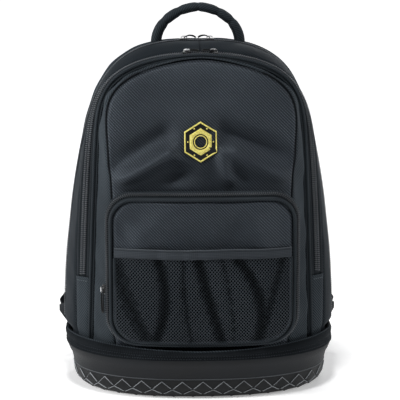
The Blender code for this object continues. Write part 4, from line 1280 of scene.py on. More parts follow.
@dataclass
class Body:
    """Gussets, zips, piping and panels of the bag."""

    shop: Workshop
    skin: Skin
    cloth: float = 0.0018
    seam_drop: float = 0.0030
    piping: float = 0.0046
    bare_gusset: float = 0.0085
    seam_reach: float = 0.0030
    pucker_pitch: float = 0.009
    hump: float = 0.042

    def build(self) -> None:
        """Build every piece of the body."""
        self.gusset("rear_gusset", ("back", "back_round", "rear_zip_outer"), TWILL, 17, 0.0006)
        self.gusset("mid_gusset", ("rear_zip_inner", "gusset_round", "front_zip_outer"), DARK_TWILL, 17,
                    0.0006)
        self.gusset("front_gusset", ("valley", "panel_edge"), TWILL, 13, 0.0024)
        self.zip("rear_zip", ("rear_zip_outer", "rear_zip_inner"), 0)
        self.zip("front_zip", ("front_zip_outer", "front_zip_inner"), self.skin.stop)
        self.zip_ends()
        self.front_piping()
        self.front_panel()
        self.back_panel()

    def settled(self, grid: Array, drop: float, uneven: float, seed: float) -> tuple[Array, Array]:
        """Cloth with its edges drawn down to the seams and a little uneven.

        Args:
            grid: the plain surface.
            drop: how deep its edges lie.
            uneven: height of its humps.
            seed: shifts the humps.

        Returns:
            The outer points and their outward directions.
        """
        out = outward(grid, grid_normals(grid))
        steps = np.linalg.norm(np.diff(grid, axis=1), axis=2)
        wide = np.concatenate([np.zeros((len(grid), 1)), np.cumsum(steps, axis=1)], axis=1)
        near = np.minimum(wide, wide[:, -1:] - wide)
        drop = drop * np.clip(wide[:, -1:] / 0.012, 0.25, 1.0)
        along = lengths_along(grid[:, grid.shape[1] // 2])[:, None]
        pucker = 1 + 0.20 * np.sin(along * math.tau / self.pucker_pitch + seed)
        lift = -drop * np.exp(-(near / self.seam_reach) ** 2) * pucker
        lift = lift + uneven * rumple(grid, self.hump, seed) * np.minimum(near / (2 * self.seam_reach), 1.0)
        return grid + out * lift[..., None], out

    def gusset(self, name: str, seams: tuple[str, ...], finish: Cloth, across: int, uneven: float) -> None:
        """One strip of cloth between two seams, with its rows of stitches.

        Args:
            name: the piece, and the CAD node that it replaces.
            seams: the seams, from the rear one.
            finish: its cloth.
            across: places across.
            uneven: height of its humps.
        """
        grid = self.skin.strip(seams, across, 0.0006)
        outer, out = self.settled(grid, self.seam_drop, uneven, len(name))
        self.shop.piece(name + "_cloth", closed_cloth(outer, outer - out * self.cloth), finish, "twill_cloth",
                        [name])
        rows = []
        for edge, place in ((0, 1), (-1, -2)):
            line = outer[:, edge] * 0.5 + outer[:, place] * 0.5 if across < 14 else outer[:, place]
            rows.append(stitches(line[8:-8], out[8:-8, place]))
        self.shop.trim(name + "_stitches", joined(rows))
        if name == "mid_gusset":
            middle = len(outer) // 2
            line, normal = outer[middle, 1:-1] - out[middle, 1:-1] * 0.0002, out[middle, 1:-1]
            self.shop.trim("mid_gusset_seam", tube(line, normal, 0.0018, 0.0014), WEBBING)

    def zip(self, name: str, seams: tuple[str, str], stop: int) -> None:
        """A zip: two tapes and the closed coil between them.

        Args:
            name: the piece, and the CAD node that it replaces.
            seams: the tape's edges.
            stop: station of its lower end.
        """
        grid = self.skin.strip(seams, 15)
        if stop:
            grid = grid[stop:-stop]
        out = outward(grid, grid_normals(grid))
        share = np.abs(np.linspace(-1, 1, 15))
        lift = -0.0006 - 0.0012 * np.exp(-((share - 0.42) / 0.14) ** 2) - 0.0008 * (share > 0.93)
        outer = grid + out * lift[None, :, None]
        self.shop.trim(name + "_tape", closed_cloth(outer, outer - out * self.cloth), TAPE, [name])
        shown = slice(1, -1) if stop else slice(8, -8)
        self.shop.trim(name + "_coil", zip_coil(outer[shown, 7], out[shown, 7]), COIL)
        rows = [stitches(outer[6:-6, place], out[6:-6, place]) for place in (2, 12)]
        self.shop.trim(name + "_stitches", joined(rows))

    def zip_ends(self) -> None:
        """Cloth below the front zip's stops, with its cross seam."""
        grid = self.skin.strip(("front_zip_outer", "front_zip_inner"), 11)
        for side, part in (("left", grid[:self.skin.stop + 1]), ("right", grid[-self.skin.stop - 1:])):
            outer, out = self.settled(part, 0.0010, 0.0004, 3.0 + len(side))
            rise = np.abs(part[..., 2] - self.skin.zip_stop)
            outer = outer + out * (0.0008 * np.exp(-(rise / 0.0028) ** 2) + 0.0004)[..., None]
            self.shop.piece("zip_end_cloth_" + side, closed_cloth(outer, outer - out * self.cloth), TWILL,
                            "twill_cloth", ["zip_end_" + side])
            row = self.skin.stop - 2 if side == "left" else 2
            self.shop.trim("zip_end_stitches_" + side, stitches(outer[row], out[row]), THREAD)

    def front_piping(self) -> None:
        """Round piping in the seam between the front zip and the panel's gusset."""
        grid = self.skin.strip(("front_zip_inner", "valley"), 5)
        out = outward(grid, grid_normals(grid))
        path = grid[:, 2] + out[:, 2] * 0.0006
        cord = tube(path, out[:, 2], self.piping, self.piping, 12)
        flange = closed_cloth(grid - out * 0.0008, grid - out * (0.0008 + self.cloth))
        self.shop.trim("front_piping_cord", joined([cord, flange]), PIPING, ["front_piping"])

    def loop_of(self, name: str, bridge: int) -> Array:
        """A seam's line closed along the foot.

        Args:
            name: the seam.
            bridge: how many points the foot gets.

        Returns:
            The loop.
        """
        line = self.skin.lines[name]
        share = np.linspace(0, 1, bridge + 2)[1:-1, None]
        return np.concatenate([line, line[-1] * (1 - share) + line[0] * share])

    def front_panel(self) -> None:
        """Padded front panel with its folds, and the row of stitches round it."""
        edge = self.loop_of("panel_edge", 60)

        def face(x: Array, z: Array) -> Array:
            """Y of the panel, drawn inside the band at its foot."""
            y = panel_face(x, z)
            return tucked(np.stack([x, y, z], axis=-1))[..., 1]

        grid, share = disc_grid(edge, (0.0, HUB_Z), face, 64)
        out = outward(grid, -grid_normals(grid, wraps=True))
        reach = (1 - share) * 0.12
        seam = -0.0030 * np.exp(-(reach / 0.0022) ** 2)
        lift = seam + 0.0012 * rumple(grid, 0.085, 1.2) * np.minimum(reach / 0.02, 1.0)
        outer = grid + out * lift[..., None]
        panel = self.shop.piece("front_panel_cloth", filled_disc(outer, outer - out * self.cloth), BALLISTIC,
                                "ballistic_cloth", ["front_panel"])
        line = outer[:len(self.skin.lines["back"]), 2]
        wide = np.linalg.norm(self.skin.lines["valley"] - self.skin.lines["panel_edge"], axis=1)
        shown = [place for place in range(6, len(line) - 6) if wide[place] > self.bare_gusset]
        split = int(np.argmax(np.diff(shown))) + 1
        seams = [tube(outer[part, 0] + out[part, 0] * 0.0014, out[part, 0], 0.0026, 0.0022)
                 for part in (shown[:split], shown[split:])]
        self.shop.trim("front_panel_seam", joined(seams), WEBBING)
        self.shop.trim("front_panel_stitches", stitches(line[8:-8], out[8:len(line) - 8, 2]))

    def back_panel(self) -> None:
        """Padded back with two quilted columns of spacer mesh."""
        edge = self.loop_of("back", 60)
        grid, share = disc_grid(edge, (0.0, HUB_Z), back_face, 56)
        out = outward(grid, grid_normals(grid, wraps=True))
        reach = (1 - share) * 0.15
        x, z = grid[..., 0], grid[..., 2]
        quilt = np.zeros_like(x)
        for level in (0.150, 0.235, 0.320, 0.400):
            quilt += np.exp(-((z - level - 0.10 * np.abs(x) * 0.4) / 0.0030) ** 2)
        columns = np.exp(-((np.abs(x) - 0.085) / 0.055) ** 4)
        seams = -0.0014 * np.exp(-(reach / 0.002) ** 2) - 0.0030 * quilt * columns
        lift = seams + 0.0006 * rumple(grid, 0.06, 4.4)
        outer = grid + out * lift[..., None]
        panel = self.shop.piece("back_panel_cloth", filled_disc(outer, outer - out * 0.009), SPACER,
                                "twill_cloth", ["back_panel"])


def pocket_face(x: Array, z: Array) -> Array:
    """Y of the pocket's outer face.

    Args:
        x: X of the points.
        z: Z of the points.

    Returns:
        Y of each.
    """
    across = np.minimum(np.abs(x) / FrontPocket.half, 1.15)
    up = (z - FrontPocket.foot) / (FrontPocket.top - FrontPocket.foot)
    corner = np.maximum(0.0, 1 - up / 0.22)
    y = -0.790 * BODY_DEPTH - 0.039 + across ** 2 * (0.012 + 0.010 * corner ** 2)
    return y + 0.003 * eased((up - 0.5) / 0.5)


def round_loop(half: float, bottom: float, top: float, foot_radius: float, top_radius: float) -> Array:
    """Loop of points round a pocket, with the same stations for every size.

    Args:
        half: half its width.
        bottom: its lowest Z.
        top: its highest Z.
        foot_radius: radius of the lower corners.
        top_radius: radius of the upper corners.

    Returns:
        (x, z) pairs.
    """
    corners = ((half - foot_radius, bottom + foot_radius, foot_radius, -90),
               (half - top_radius, top - top_radius, top_radius, 0),
               (-half + top_radius, top - top_radius, top_radius, 90),
               (-half + foot_radius, bottom + foot_radius, foot_radius, 180))
    pieces = []
    for place, (x, z, radius, start) in enumerate(corners):
        turn = np.radians(start + np.linspace(0, 90, 17))
        arc = np.stack([x + radius * np.cos(turn), z + radius * np.sin(turn)], axis=1)
        ahead = corners[(place + 1) % 4]
        first = math.radians(ahead[3])
        target = np.array((ahead[0] + ahead[2] * math.cos(first), ahead[1] + ahead[2] * math.sin(first)))
        steps = 40 if place % 2 == 0 else 48
        share = np.linspace(0, 1, steps + 1)[1:-1, None]
        pieces += [arc, arc[-1] * (1 - share) + target * share]
    return np.concatenate(pieces)


@dataclass
class FrontPocket:
    """Zipped pocket on the front panel."""

    shop: Workshop
    half: float = 0.1180
    top: float = 0.26551
    foot: float = 0.07351
    net_top: float = 0.192
    flare: float = 0.0095
    piping_size: tuple[float, float] = (0.0050, 0.0044)
    cloth: float = 0.0018

    def column(self, wider: float, low: float, high: float, radii: tuple[float, float],
               depth: Callable[[Array, Array], Array]) -> Array:
        """Loop of points round the pocket.

        Args:
            wider: added to the half width.
            low: added to the foot.
            high: added to the top.
            radii: of the lower and the upper corners.
            depth: Y for X and Z.

        Returns:
            The loop.
        """
        outline = round_loop(self.half + wider, self.foot + low, self.top + high, *radii)
        return np.stack([outline[:, 0], depth(outline[:, 0], outline[:, 1]), outline[:, 1]], axis=1)

    def build(self) -> None:
        """Build the pocket."""

        def side(x: Array, z: Array, share: float, lift: float) -> Array:
            """Y between the panel's edge and the pocket's face."""
            return pocket_face(x, z) * share + panel_face(np.full_like(x, self.half), z) * (1 - share) + lift

        lines = [
            self.column(0, .0020, -.0035, (.034, .028), lambda x, z: panel_face(x, z) + 0.0006),
            self.column(self.flare, -.0010, .0080, (.040, .035), lambda x, z: side(x, z, 0.35, -0.0030)),
            self.column(self.flare - .0020, -.0010, .0065, (.039, .034),
                        lambda x, z: side(x, z, 0.62, -0.0010)),
            self.column(.0030, .0, .0010, (.036, .031), lambda x, z: pocket_face(x, z) + 0.0050),
            self.column(-.0010, .0025, -.0020, (.033, .028), pocket_face),
        ]
        self.gusset(lines[0], lines[1])
        self.zip(lines[1], lines[2], lines[3])
        self.piping(lines[3], lines[4])
        self.face(lines[4])

    def grid(self, lines: Sequence[Array], across: int) -> tuple[Array, Array]:
        """Points between two or three loops, and their outward directions.

        Args:
            lines: the loops.
            across: places across.

        Returns:
            The points and the directions.
        """
        share = np.linspace(0, 1, across)[None, :, None]
        if len(lines) == 2:
            grid = lines[0][:, None] * (1 - share) + lines[1][:, None] * share
        else:
            grid = (lines[0][:, None] * (1 - share) ** 2 + lines[2][:, None] * share ** 2
                    + (2 * lines[1] - (lines[0] + lines[2]) / 2)[:, None] * 2 * share * (1 - share))
        normals = grid_normals(grid, wraps=True)
        middle = np.array((0.0, lines[0][:, 1].mean() + 0.02, (self.foot + self.top) / 2))
        facing = ((grid - middle) * normals).sum(axis=-1).mean()
        return grid, normals if facing > 0 else -normals

    def gusset(self, near: Array, far: Array) -> None:
        """Cloth between the panel and the zip.

        Args:
            near: loop on the panel.
            far: loop at the zip.
        """
        grid, out = self.grid((near, far), 9)
        share = np.linspace(-1, 1, 9)
        lift = 0.0014 * (1 - share ** 2)[None] + 0.0005 * rumple(grid, 0.04, 2.0)
        outer = grid + out * lift[..., None]
        cloth = closed_cloth(outer, outer - out * self.cloth, wraps=True)
        self.shop.piece("pocket_gusset_cloth", cloth, TWILL, "twill_cloth", ["pocket_gusset"])
        self.shop.trim("pocket_gusset_stitches", stitches(outer[:, 7], out[:, 7], wraps=True))

    def zip(self, near: Array, crown: Array, far: Array) -> None:
        """Zip round the pocket's side.

        Args:
            near: loop at the gusset.
            crown: loop between them.
            far: loop at the piping.
        """
        grid, out = self.grid((near, crown, far), 13)
        share = np.abs(np.linspace(-1, 1, 13))
        lift = -0.0004 - 0.0009 * np.exp(-((share - 0.5) / 0.16) ** 2)
        outer = grid + out * lift[None, :, None]
        cloth = closed_cloth(outer, outer - out * self.cloth, wraps=True)
        self.shop.trim("pocket_zip_tape", cloth, TAPE, ["pocket_zip"])
        coil = zip_coil(outer[:, 8] + out[:, 8] * 0.0004, out[:, 8], 0.0026, 0.0024, wraps=True)
        self.shop.trim("pocket_zip_coil", coil, DARK_COIL)

    def piping(self, near: Array, far: Array) -> None:
        """Round piping on the pocket's front edge.

        Args:
            near: loop at the zip.
            far: loop round the face.
        """
        grid, out = self.grid((near, far), 5)
        path = grid[:, 2] + out[:, 2] * 0.0008
        cord = tube(path, out[:, 2], *self.piping_size, 12, wraps=True)
        self.shop.trim("pocket_piping_cord", cord, PIPING, ["pocket_piping"])

    def face(self, edge: Array) -> None:
        """Padded face of the pocket, darker below the net's top as painted shade.

        Args:
            edge: loop round the face.
        """
        grid, share = disc_grid(edge, (0.0, (self.foot + self.top) / 2), pocket_face, 44)
        out = grid_normals(grid, wraps=True)
        out = out if out[..., 1].mean() < 0 else -out
        reach = (1 - share) * 0.10
        x, z = grid[..., 0], grid[..., 2]
        folds = sum(fold.height_at(x, z) for fold in POCKET_FOLDS) * np.minimum(reach / 0.012, 1.0)
        lift = -0.0026 * np.exp(-(reach / 0.0024) ** 2) + 0.0008 * rumple(grid, 0.06, 3.1) + folds
        outer = grid + out * lift[..., None]
        surface = filled_disc(outer, outer - out * self.cloth)
        heights = surface.points[:, 2]
        # Faces below the net's top get the darker cloth: painted shade behind the net.
        surface.quad_finish = (heights[surface.quads].mean(axis=1) < self.net_top).astype(int)
        surface.triangle_finish = (heights[surface.triangles].mean(axis=1) < self.net_top).astype(int)
        made = self.shop.piece("pocket_face_cloth", surface, [BALLISTIC, PAINTED_NET_SHADE], "ballistic_cloth",
                               ["pocket_face"])


@dataclass(frozen=True)
class Gather:
    """A fold down the net, from its binding to its foot, as shares of the pocket's half width."""

    top_x: float
    middle_x: float
    foot_x: float
    width: float
    depth: float

    def line(self, up: Array) -> Array:
        """Where the fold runs at a share of the net's height."""
        return (self.foot_x * (1 - up) * (1 - 2 * up) + self.middle_x * 4 * up * (1 - up)
                + self.top_x * up * (2 * up - 1))


NET_GATHERS = (
    Gather(-.98, -.82, -.58, .100, .0065),
    Gather(-.50, -.42, -.54, .060, .0085),
    Gather(-.22, -.20, -.12, .040, .0040),
    Gather(-.06, .07, .22, .062, .0085),
    Gather(.365, .62, .58, .066, .0085),
    Gather(.20, .30, .34, .035, .0035),
    Gather(.88, .75, .62, .050, .0060),
)


@dataclass
class NetPocket:
    """Slack net on the pocket's face, with an elastic binding on its open edge."""

    shop: Workshop
    top: float = 0.18998
    foot: float = FrontPocket.foot + 0.0045
    slack: float = 0.014
    cell_wide: float = 0.0042
    cell_high: float = 0.0047
    strand: float = 0.00067
    binding: float = 0.012
    flat: tuple[float, float] = (0.262, 0.124)
    yarn_share: float = 0.50
    fold_shade_steps: tuple[float, float] = (0.36, 0.72)

    def face(self, x: Array, z: Array, gathered: float = 1.0) -> Array:
        """Y of the net's outer face, with a share of its gathers.

        Args:
            x: X of the points.
            z: Z of the points.
            gathered: share of the gathers' depth.

        Returns:
            Y of each.
        """
        across = np.minimum(np.abs(x) / FrontPocket.half, 1.0)
        up = (z - FrontPocket.foot) / (self.top - FrontPocket.foot)
        loose = (1 - across ** 4) * (0.30 + 0.70 * np.sin(math.pi * np.clip(up * 0.86 + 0.05, 0.0, 1.0)))
        loose = loose * eased(up / 0.14)
        y = pocket_face(x, z) - 0.0005 - self.slack * loose
        for gather in NET_GATHERS:
            reach = (x / FrontPocket.half - gather.line(up)) / gather.width
            y = y + gather.depth * np.exp(-reach ** 2) * loose * gathered
        return y

    def turned(self, points: Array) -> Array:
        """How deep in a fold points of the net are, from 0 to 1; the net's yarn takes painted shade by it.

        Args:
            points: the points.

        Returns:
            A number for each.
        """
        up = (points[:, 2] - FrontPocket.foot) / (self.top - FrontPocket.foot)
        total = np.zeros(len(points))
        for gather in NET_GATHERS:
            reach = (points[:, 0] / FrontPocket.half - gather.line(up)) / gather.width
            total = np.maximum(total, np.exp(-reach ** 2) * gather.depth / 0.0085)
        return total + 0.12 * rumple(points, 0.012, 2.2)

    def facing(self, points: Array) -> Array:
        """Directions that the net faces at points.

        Args:
            points: the points.

        Returns:
            A unit vector for each.
        """
        x, z, step = points[:, 0], points[:, 2], 0.0005
        turn_x = (self.face(x + step, z) - self.face(x - step, z)) / (2 * step)
        turn_z = (self.face(x, z + step) - self.face(x, z - step)) / (2 * step)
        return unit(np.stack([turn_x, -np.ones_like(x), turn_z], axis=1))

    def half_at(self, z: Array) -> Array:
        """Half width of the net at a height, inside the pocket's lower corners.

        Args:
            z: the heights.

        Returns:
            The half widths.
        """
        half, radius = FrontPocket.half - 0.0035, 0.034
        drop = np.clip(radius - (z - self.foot), 0.0, radius)
        return half - radius + np.sqrt(np.maximum(radius ** 2 - drop ** 2, 0.0))

    def build(self) -> None:
        """Build the net, its sewn edge and its binding."""
        self.net()
        self.edge_tape()
        self.binding_tape()

    def net(self) -> None:
        """Diamond net, one thin yarn from knot to knot."""
        rows = np.arange(int((self.top - self.foot) / self.cell_high * 2) + 2)
        reach = int(FrontPocket.half / self.cell_wide * 2) + 1
        row, column = np.meshgrid(rows[:-1], np.arange(-reach, reach + 1), indexing="ij")
        keep = (row + column) % 2 == 0
        row, column = row[keep], column[keep]

        def knot(column: Array, row: Array) -> tuple[Array, Array]:
            """X and Z of knots."""
            return column * self.cell_wide / 2, np.minimum(self.foot + row * self.cell_high / 2, self.top)

        starts, ends = [], []
        for step in (-1, 1):
            (x0, z0), (x1, z1) = knot(column, row), knot(column + step, row + 1)
            inside = (np.abs(x0) <= self.half_at(z0)) | (np.abs(x1) <= self.half_at(z1))
            inside &= z1 > z0
            for knots, x, z in ((starts, x0[inside], z0[inside]), (ends, x1[inside], z1[inside])):
                half = self.half_at(z)
                x = np.clip(x, -half, half)
                knots.append(np.stack([x, self.face(x, z), z], axis=1))
        start, end = np.concatenate(starts), np.concatenate(ends)
        run = end - start
        keep = np.linalg.norm(run, axis=1) > self.strand
        start, end, run = start[keep], end[keep], unit(run[keep])
        side = unit(np.cross(run, self.facing(start)))
        out = np.cross(side, run)
        half = self.strand / 2
        section = ((-half, 0.0), (half, 0.0), (half * 0.6, half * 0.9), (-half * 0.6, half * 0.9))
        points = np.stack([knot + side * a + out * b for knot in (start, end) for a, b in section], axis=1)
        shift = np.arange(len(start))[:, None, None] * 8
        quads = np.array(((0, 1, 5, 4), (1, 2, 6, 5), (2, 3, 7, 6), (3, 0, 4, 7)))[None] + shift
        caps = np.array(((0, 2, 1), (0, 3, 2), (4, 5, 6), (4, 6, 7)))[None] + shift
        points = points.reshape(-1, 3)
        quads, caps = quads.reshape(-1, 4), caps.reshape(-1, 3)
        # Strands deep in a gather take the darker yarns: painted shade in the folds.
        turned = np.digitize(self.turned(start), self.fold_shade_steps)
        surface = Surface(points, quads, flat_places(points, quads), caps, flat_places(points, caps),
                          np.repeat(turned, 4), np.repeat(turned, 4))
        made = self.shop.piece("net", surface, [NET_YARN, NET_YARN_SHADE, NET_YARN_DEEP_SHADE], "netting", ["mesh_pocket"])

    def edge_line(self) -> Array:
        """Line round the net's sewn edge, from its upper left to its upper right corner.

        Returns:
            Its points.
        """
        down = self.top - (self.top - self.foot) * np.linspace(0, 1, 90) ** 0.8
        left = np.stack([-self.half_at(down), down], axis=1)
        right = left[::-1] * np.array((-1.0, 1.0))
        foot = np.linspace(left[-1, 0], right[0, 0], 60)[1:-1]
        middle = np.stack([foot, np.full_like(foot, self.foot)], axis=1)
        line = resampled(np.concatenate([left, middle, right]), 240)
        return np.stack([line[:, 0], pocket_face(line[:, 0], line[:, 1]) - 0.0010, line[:, 1]], axis=1)

    def edge_tape(self) -> None:
        """Narrow tape that sews the net to the pocket."""
        path = self.edge_line()
        self.shop.trim("net_edge", tube(path, np.broadcast_to(FORWARD, path.shape), 0.0042, 0.0018), PIPING)

    def binding_tape(self) -> None:
        """Flat elastic binding folded over the net's upper edge, with its stitches."""
        half = FrontPocket.half - 0.0030
        x = np.linspace(-half, half, 220)
        height = np.linspace(0.0, 1.0, 9)
        z = self.top + 0.0003 + self.binding * height[None] + 0.0004 * np.sin(x / 0.019)[:, None]
        front = self.face(x, np.full_like(x, self.top), 0.35)[:, None] - 0.0014
        lean = pocket_face(x[:, None], z) - pocket_face(x, np.full_like(x, self.top))[:, None]
        round_off = 0.0007 * (1 - (2 * height - 1) ** 4)[None]
        wave = 0.0004 * np.sin(x / 0.0045)[:, None] * (1 - height)[None]
        y = front + lean - round_off - wave
        grid = np.stack([np.broadcast_to(x[:, None], z.shape), y, z], axis=-1)
        under = grid + np.array((0.0, 0.0018, 0.0))
        self.shop.trim("net_binding", closed_cloth(grid, under), BINDING, ["mesh_binding"])
        normals = np.broadcast_to(FORWARD, grid[:, 1].shape)
        rows = [stitches(grid[:, place] + normals * 0.0001, normals, 0.0030) for place in (1, 7)]
        self.shop.trim("net_binding_stitches", joined(rows))
        # The folded top edge in the lighter copy of the binding: a painted highlight.
        fold = tube(grid[:, 8] - FORWARD * 0.0006, normals, 0.0013, 0.0016)
        self.shop.trim("net_binding_fold", fold, BINDING_HIGHLIGHT)


Rows = tuple[tuple[float, float], ...]
# Finish numbers in the tub: the painted highlight on upward-facing bevels, and the pads.
PAINTED_HIGHLIGHT, PAD = 1, 2


@dataclass
class Base:
    """Rubber tub with its tread, and the stitched band on its rim."""

    shop: Workshop
    pitch: float = 0.028
    relief: float = 0.0018
    wall: float = 0.0030
    wall_rows: Rows = ((.0540, .0), (.0500, .0002), (.0450, .0022), (.0400, .0050), (.0330, .0068),
                       (.0250, .0085))
    tread_rows: Rows = ((.0137, .0100), (.0070, .0130), (.0, .0215))
    inner_rows: Rows = ((.0040, .0200), (.0120, .0110), (.0250, .0088), (.0540, .0))
    roll: Rows = ((.0, .0), (.02, .0011), (.14, .0009), (.19, .0004), (.24, .0010), (.37, .0010),
                  (.42, .0004), (.47, .0012), (.60, .0022), (.76, .0026), (.90, .0019), (.97, .0008),
                  (1.0, -.0006), (.97, -.0022), (.6, -.0025), (.2, -.0025), (.0, -.0020))

    def build(self) -> None:
        """Build the tub and the band."""
        self.tub()
        self.band()

    def rings(self, angles: Array, rows: Rows, inset: float = 0.0) -> list[Array]:
        """Rings of the tub's wall, for (height, inset) rows that are all drawn in by inset more."""
        return [TUB_RIM.ring(angles, own + inset, height) for height, own in rows]

    def tub(self) -> None:
        """Moulded tub with raised diamonds round its foot."""
        around = lengths_along(TUB_RIM.ring(-math.pi / 2 + np.linspace(0, math.tau, 2401), 0.0, 0.0))[-1]
        count = 2 * round(around / self.pitch)
        head, *tread = self.rings(TUB_RIM.even_angles(count), (self.wall_rows[-1], *self.tread_rows))
        fine = TUB_RIM.even_angles(count * 3)
        outer = np.stack(self.rings(fine, self.wall_rows[::-1]), axis=1)
        inner = np.stack(self.rings(fine, self.inner_rows, self.wall), axis=1)
        middle = (outer[:, -1] + inner[:, -1]) / 2 + np.array((0, 0, 0.0008))
        lip = np.stack([outer[:, -1], middle, inner[:, -1]], axis=1)
        parts = [sheet_of(outer, True), sheet_of(inner, True, flip=True), sheet_of(lip, True),
                 self.pads(head, tread), self.floor(tread[2][1::2]), self.floor(inner[:, 0], up=True)]
        # The second finish is the painted highlight on the diamonds' upper bevels.
        self.shop.piece("rubber_tub", joined(parts), [RUBBER, RUBBER_HIGHLIGHT, RUBBER_PAD], "base_rubber",
                        ["base_tub"])
        # Thin ridge above the tread in the lighter rubber: a painted highlight along it.
        ridge = TUB_RIM.ring(fine, 0.0081, 0.0268)
        out = unit((ridge - np.array((0.0, TUB_RIM.middle, 0.0))) * np.array((1.0, 1.0, 0.0)))
        self.shop.piece("tub_ridge", tube(ridge, out, 0.0013, 0.0012, wraps=True), RUBBER_RIDGE_HIGHLIGHT,
                        "base_rubber")

    def floor(self, ring: Array, up: bool = False) -> Surface:
        """Flat fan of faces inside a ring.

        Args:
            ring: points of its edge.
            up: it faces up, not down.

        Returns:
            The faces.
        """
        points = np.concatenate([ring, ring.mean(axis=0)[None]])
        step = np.arange(len(ring))
        faces = fan(step, (step + 1) % len(ring), len(ring))
        faces = faces if up else faces[:, ::-1]
        return Surface(points, np.zeros((0, 4), int), np.zeros((0, 4, 2)), faces, points[faces][..., :2])

    def cells(self, head: Array, tread: Sequence[Array]) -> list[tuple[Sequence[Array], Optional[int]]]:
        """Corners of the tread's diamonds, each with its bevel's finish, and of the flat faces at its foot.

        Args:
            head: ring of points at the tread's upper edge.
            tread: three rings of points below it.

        Returns:
            Pairs of corners and finish, where a flat face has no finish.
        """
        count, upper, middle, foot = len(head), *tread
        found: list[tuple[Sequence[Array], Optional[int]]] = []
        for place in range(0, count, 2):
            right, left = (place + 1) % count, (place - 1) % count
            found.append(((head[place], upper[right], middle[place], upper[left]), PAINTED_HIGHLIGHT))
            found.append(((middle[place], foot[right], foot[left]), None))
        for place in range(1, count, 2):
            right, left = (place + 1) % count, (place - 1) % count
            found.append(((head[left], head[place], head[right], upper[place]), PAD))
            found.append(((upper[place], middle[right], foot[place], middle[left]), PAINTED_HIGHLIGHT))
        return found

    def pads(self, head: Array, tread: Sequence[Array]) -> Surface:
        """Raised diamonds between the wall and the floor.

        Args:
            head: ring of points at the tread's upper edge.
            tread: three rings of points below it.

        Returns:
            The pads with their bevels.
        """
        middle = np.array((0.0, TUB_RIM.middle, 0.030))
        points: list[Array] = []
        quads: list[tuple[int, ...]] = []
        triangles: list[tuple[int, ...]] = []
        finish: list[int] = []
        levels: list[float] = []
        for corners, edge in self.cells(head, tread):
            ring = np.array(corners)
            centre = ring.mean(axis=0)
            out = unit(np.cross(ring[1] - ring[0], ring[2] - ring[0]))
            out = out if out @ (centre - middle) > 0 else -out
            base, size = len(points), len(ring)
            steps = [(1.0, 0.0, PAD), (0.95, 0.0, PAD), (0.93, 0.45, PAD), (0.85, 0.95, edge),
                     (0.80, 1.0, PAD)][:1 if edge is None else None]
            for share, lift, _ in steps:
                points.extend(centre + (ring - centre) * share + out * self.relief * lift)
            for place, (_, _, kind) in enumerate(steps[1:]):
                first, second = base + place * size, base + (place + 1) * size
                for corner in range(size):
                    beside = (corner + 1) % size
                    quads.append((first + corner, first + beside, second + beside, second + corner))
                    finish.append(kind)
                    levels.append(centre[2])
            points.append(centre + out * (0.0 if edge is None else self.relief))
            top = len(points) - 1 - size
            triangles += [(top + corner, top + (corner + 1) % size, top + size) for corner in range(size)]
        made = np.array(points)

        def facing_out(faces: Array) -> Array:
            """Faces turned away from the tub's middle.

            Args:
                faces: corners of the faces.

            Returns:
                The corners in their new order.
            """
            across = np.cross(made[faces[:, 1]] - made[faces[:, 0]], made[faces[:, 2]] - made[faces[:, 0]])
            inward = (across * (made[faces].mean(axis=1) - middle)).sum(axis=1) < 0
            return np.where(inward[:, None], faces[:, ::-1], faces)

        quad_array, tri_array = facing_out(np.array(quads)), facing_out(np.array(triangles))
        # Bevel faces above each diamond's middle face up and take the painted highlight; the rest keep the
        # pad's rubber.
        raised = made[quad_array].mean(axis=1)[:, 2] > np.array(levels)
        return Surface(made, quad_array, flat_places(made, quad_array), tri_array,
                       flat_places(made, tri_array), np.where(raised, finish, PAD),
                       np.full(len(tri_array), PAD))

    def band(self) -> None:
        """Cloth band rolled over the rim, with its two rows of stitches."""
        angles = BAND_FOOT.even_angles(420)
        foot, head = BAND_FOOT.ring(angles, 0.0, BASE_RIM + 0.0003), BAND_HEAD.ring(angles, 0.0, BAND_TOP)
        run = head - foot
        level = unit((foot + head) / 2 - np.array((0.0, BAND_FOOT.middle, 0.061)))
        level[:, 2] = 0.0
        level = unit(level)
        wave = 0.00035 * rumple(foot, 0.050, 0.7)[:, None] + 0.0002 * rumple(foot, 0.017, 2.7)[:, None]
        rings = [foot + run * share + level * (proud + wave * (proud > 0)) for share, proud in self.roll]
        grid = np.stack(rings, axis=1)
        self.shop.piece("rim_band", sleeve(grid), BAND_TWILL, "twill_cloth", ["base_band"])
        # Cord along the band's rolled top edge in the lighter twill: a painted highlight.
        edge = tube(grid[:, 11] + level * 0.0002, level, 0.0018, 0.0012, wraps=True)
        self.shop.piece("rim_band_edge_highlight", edge, TWILL, "twill_cloth")
        rows = [stitches(grid[:, place] + level * 0.0003, level, 0.0036, wraps=True) for place in (3, 6)]
        self.shop.trim("rim_band_stitches", joined(rows))


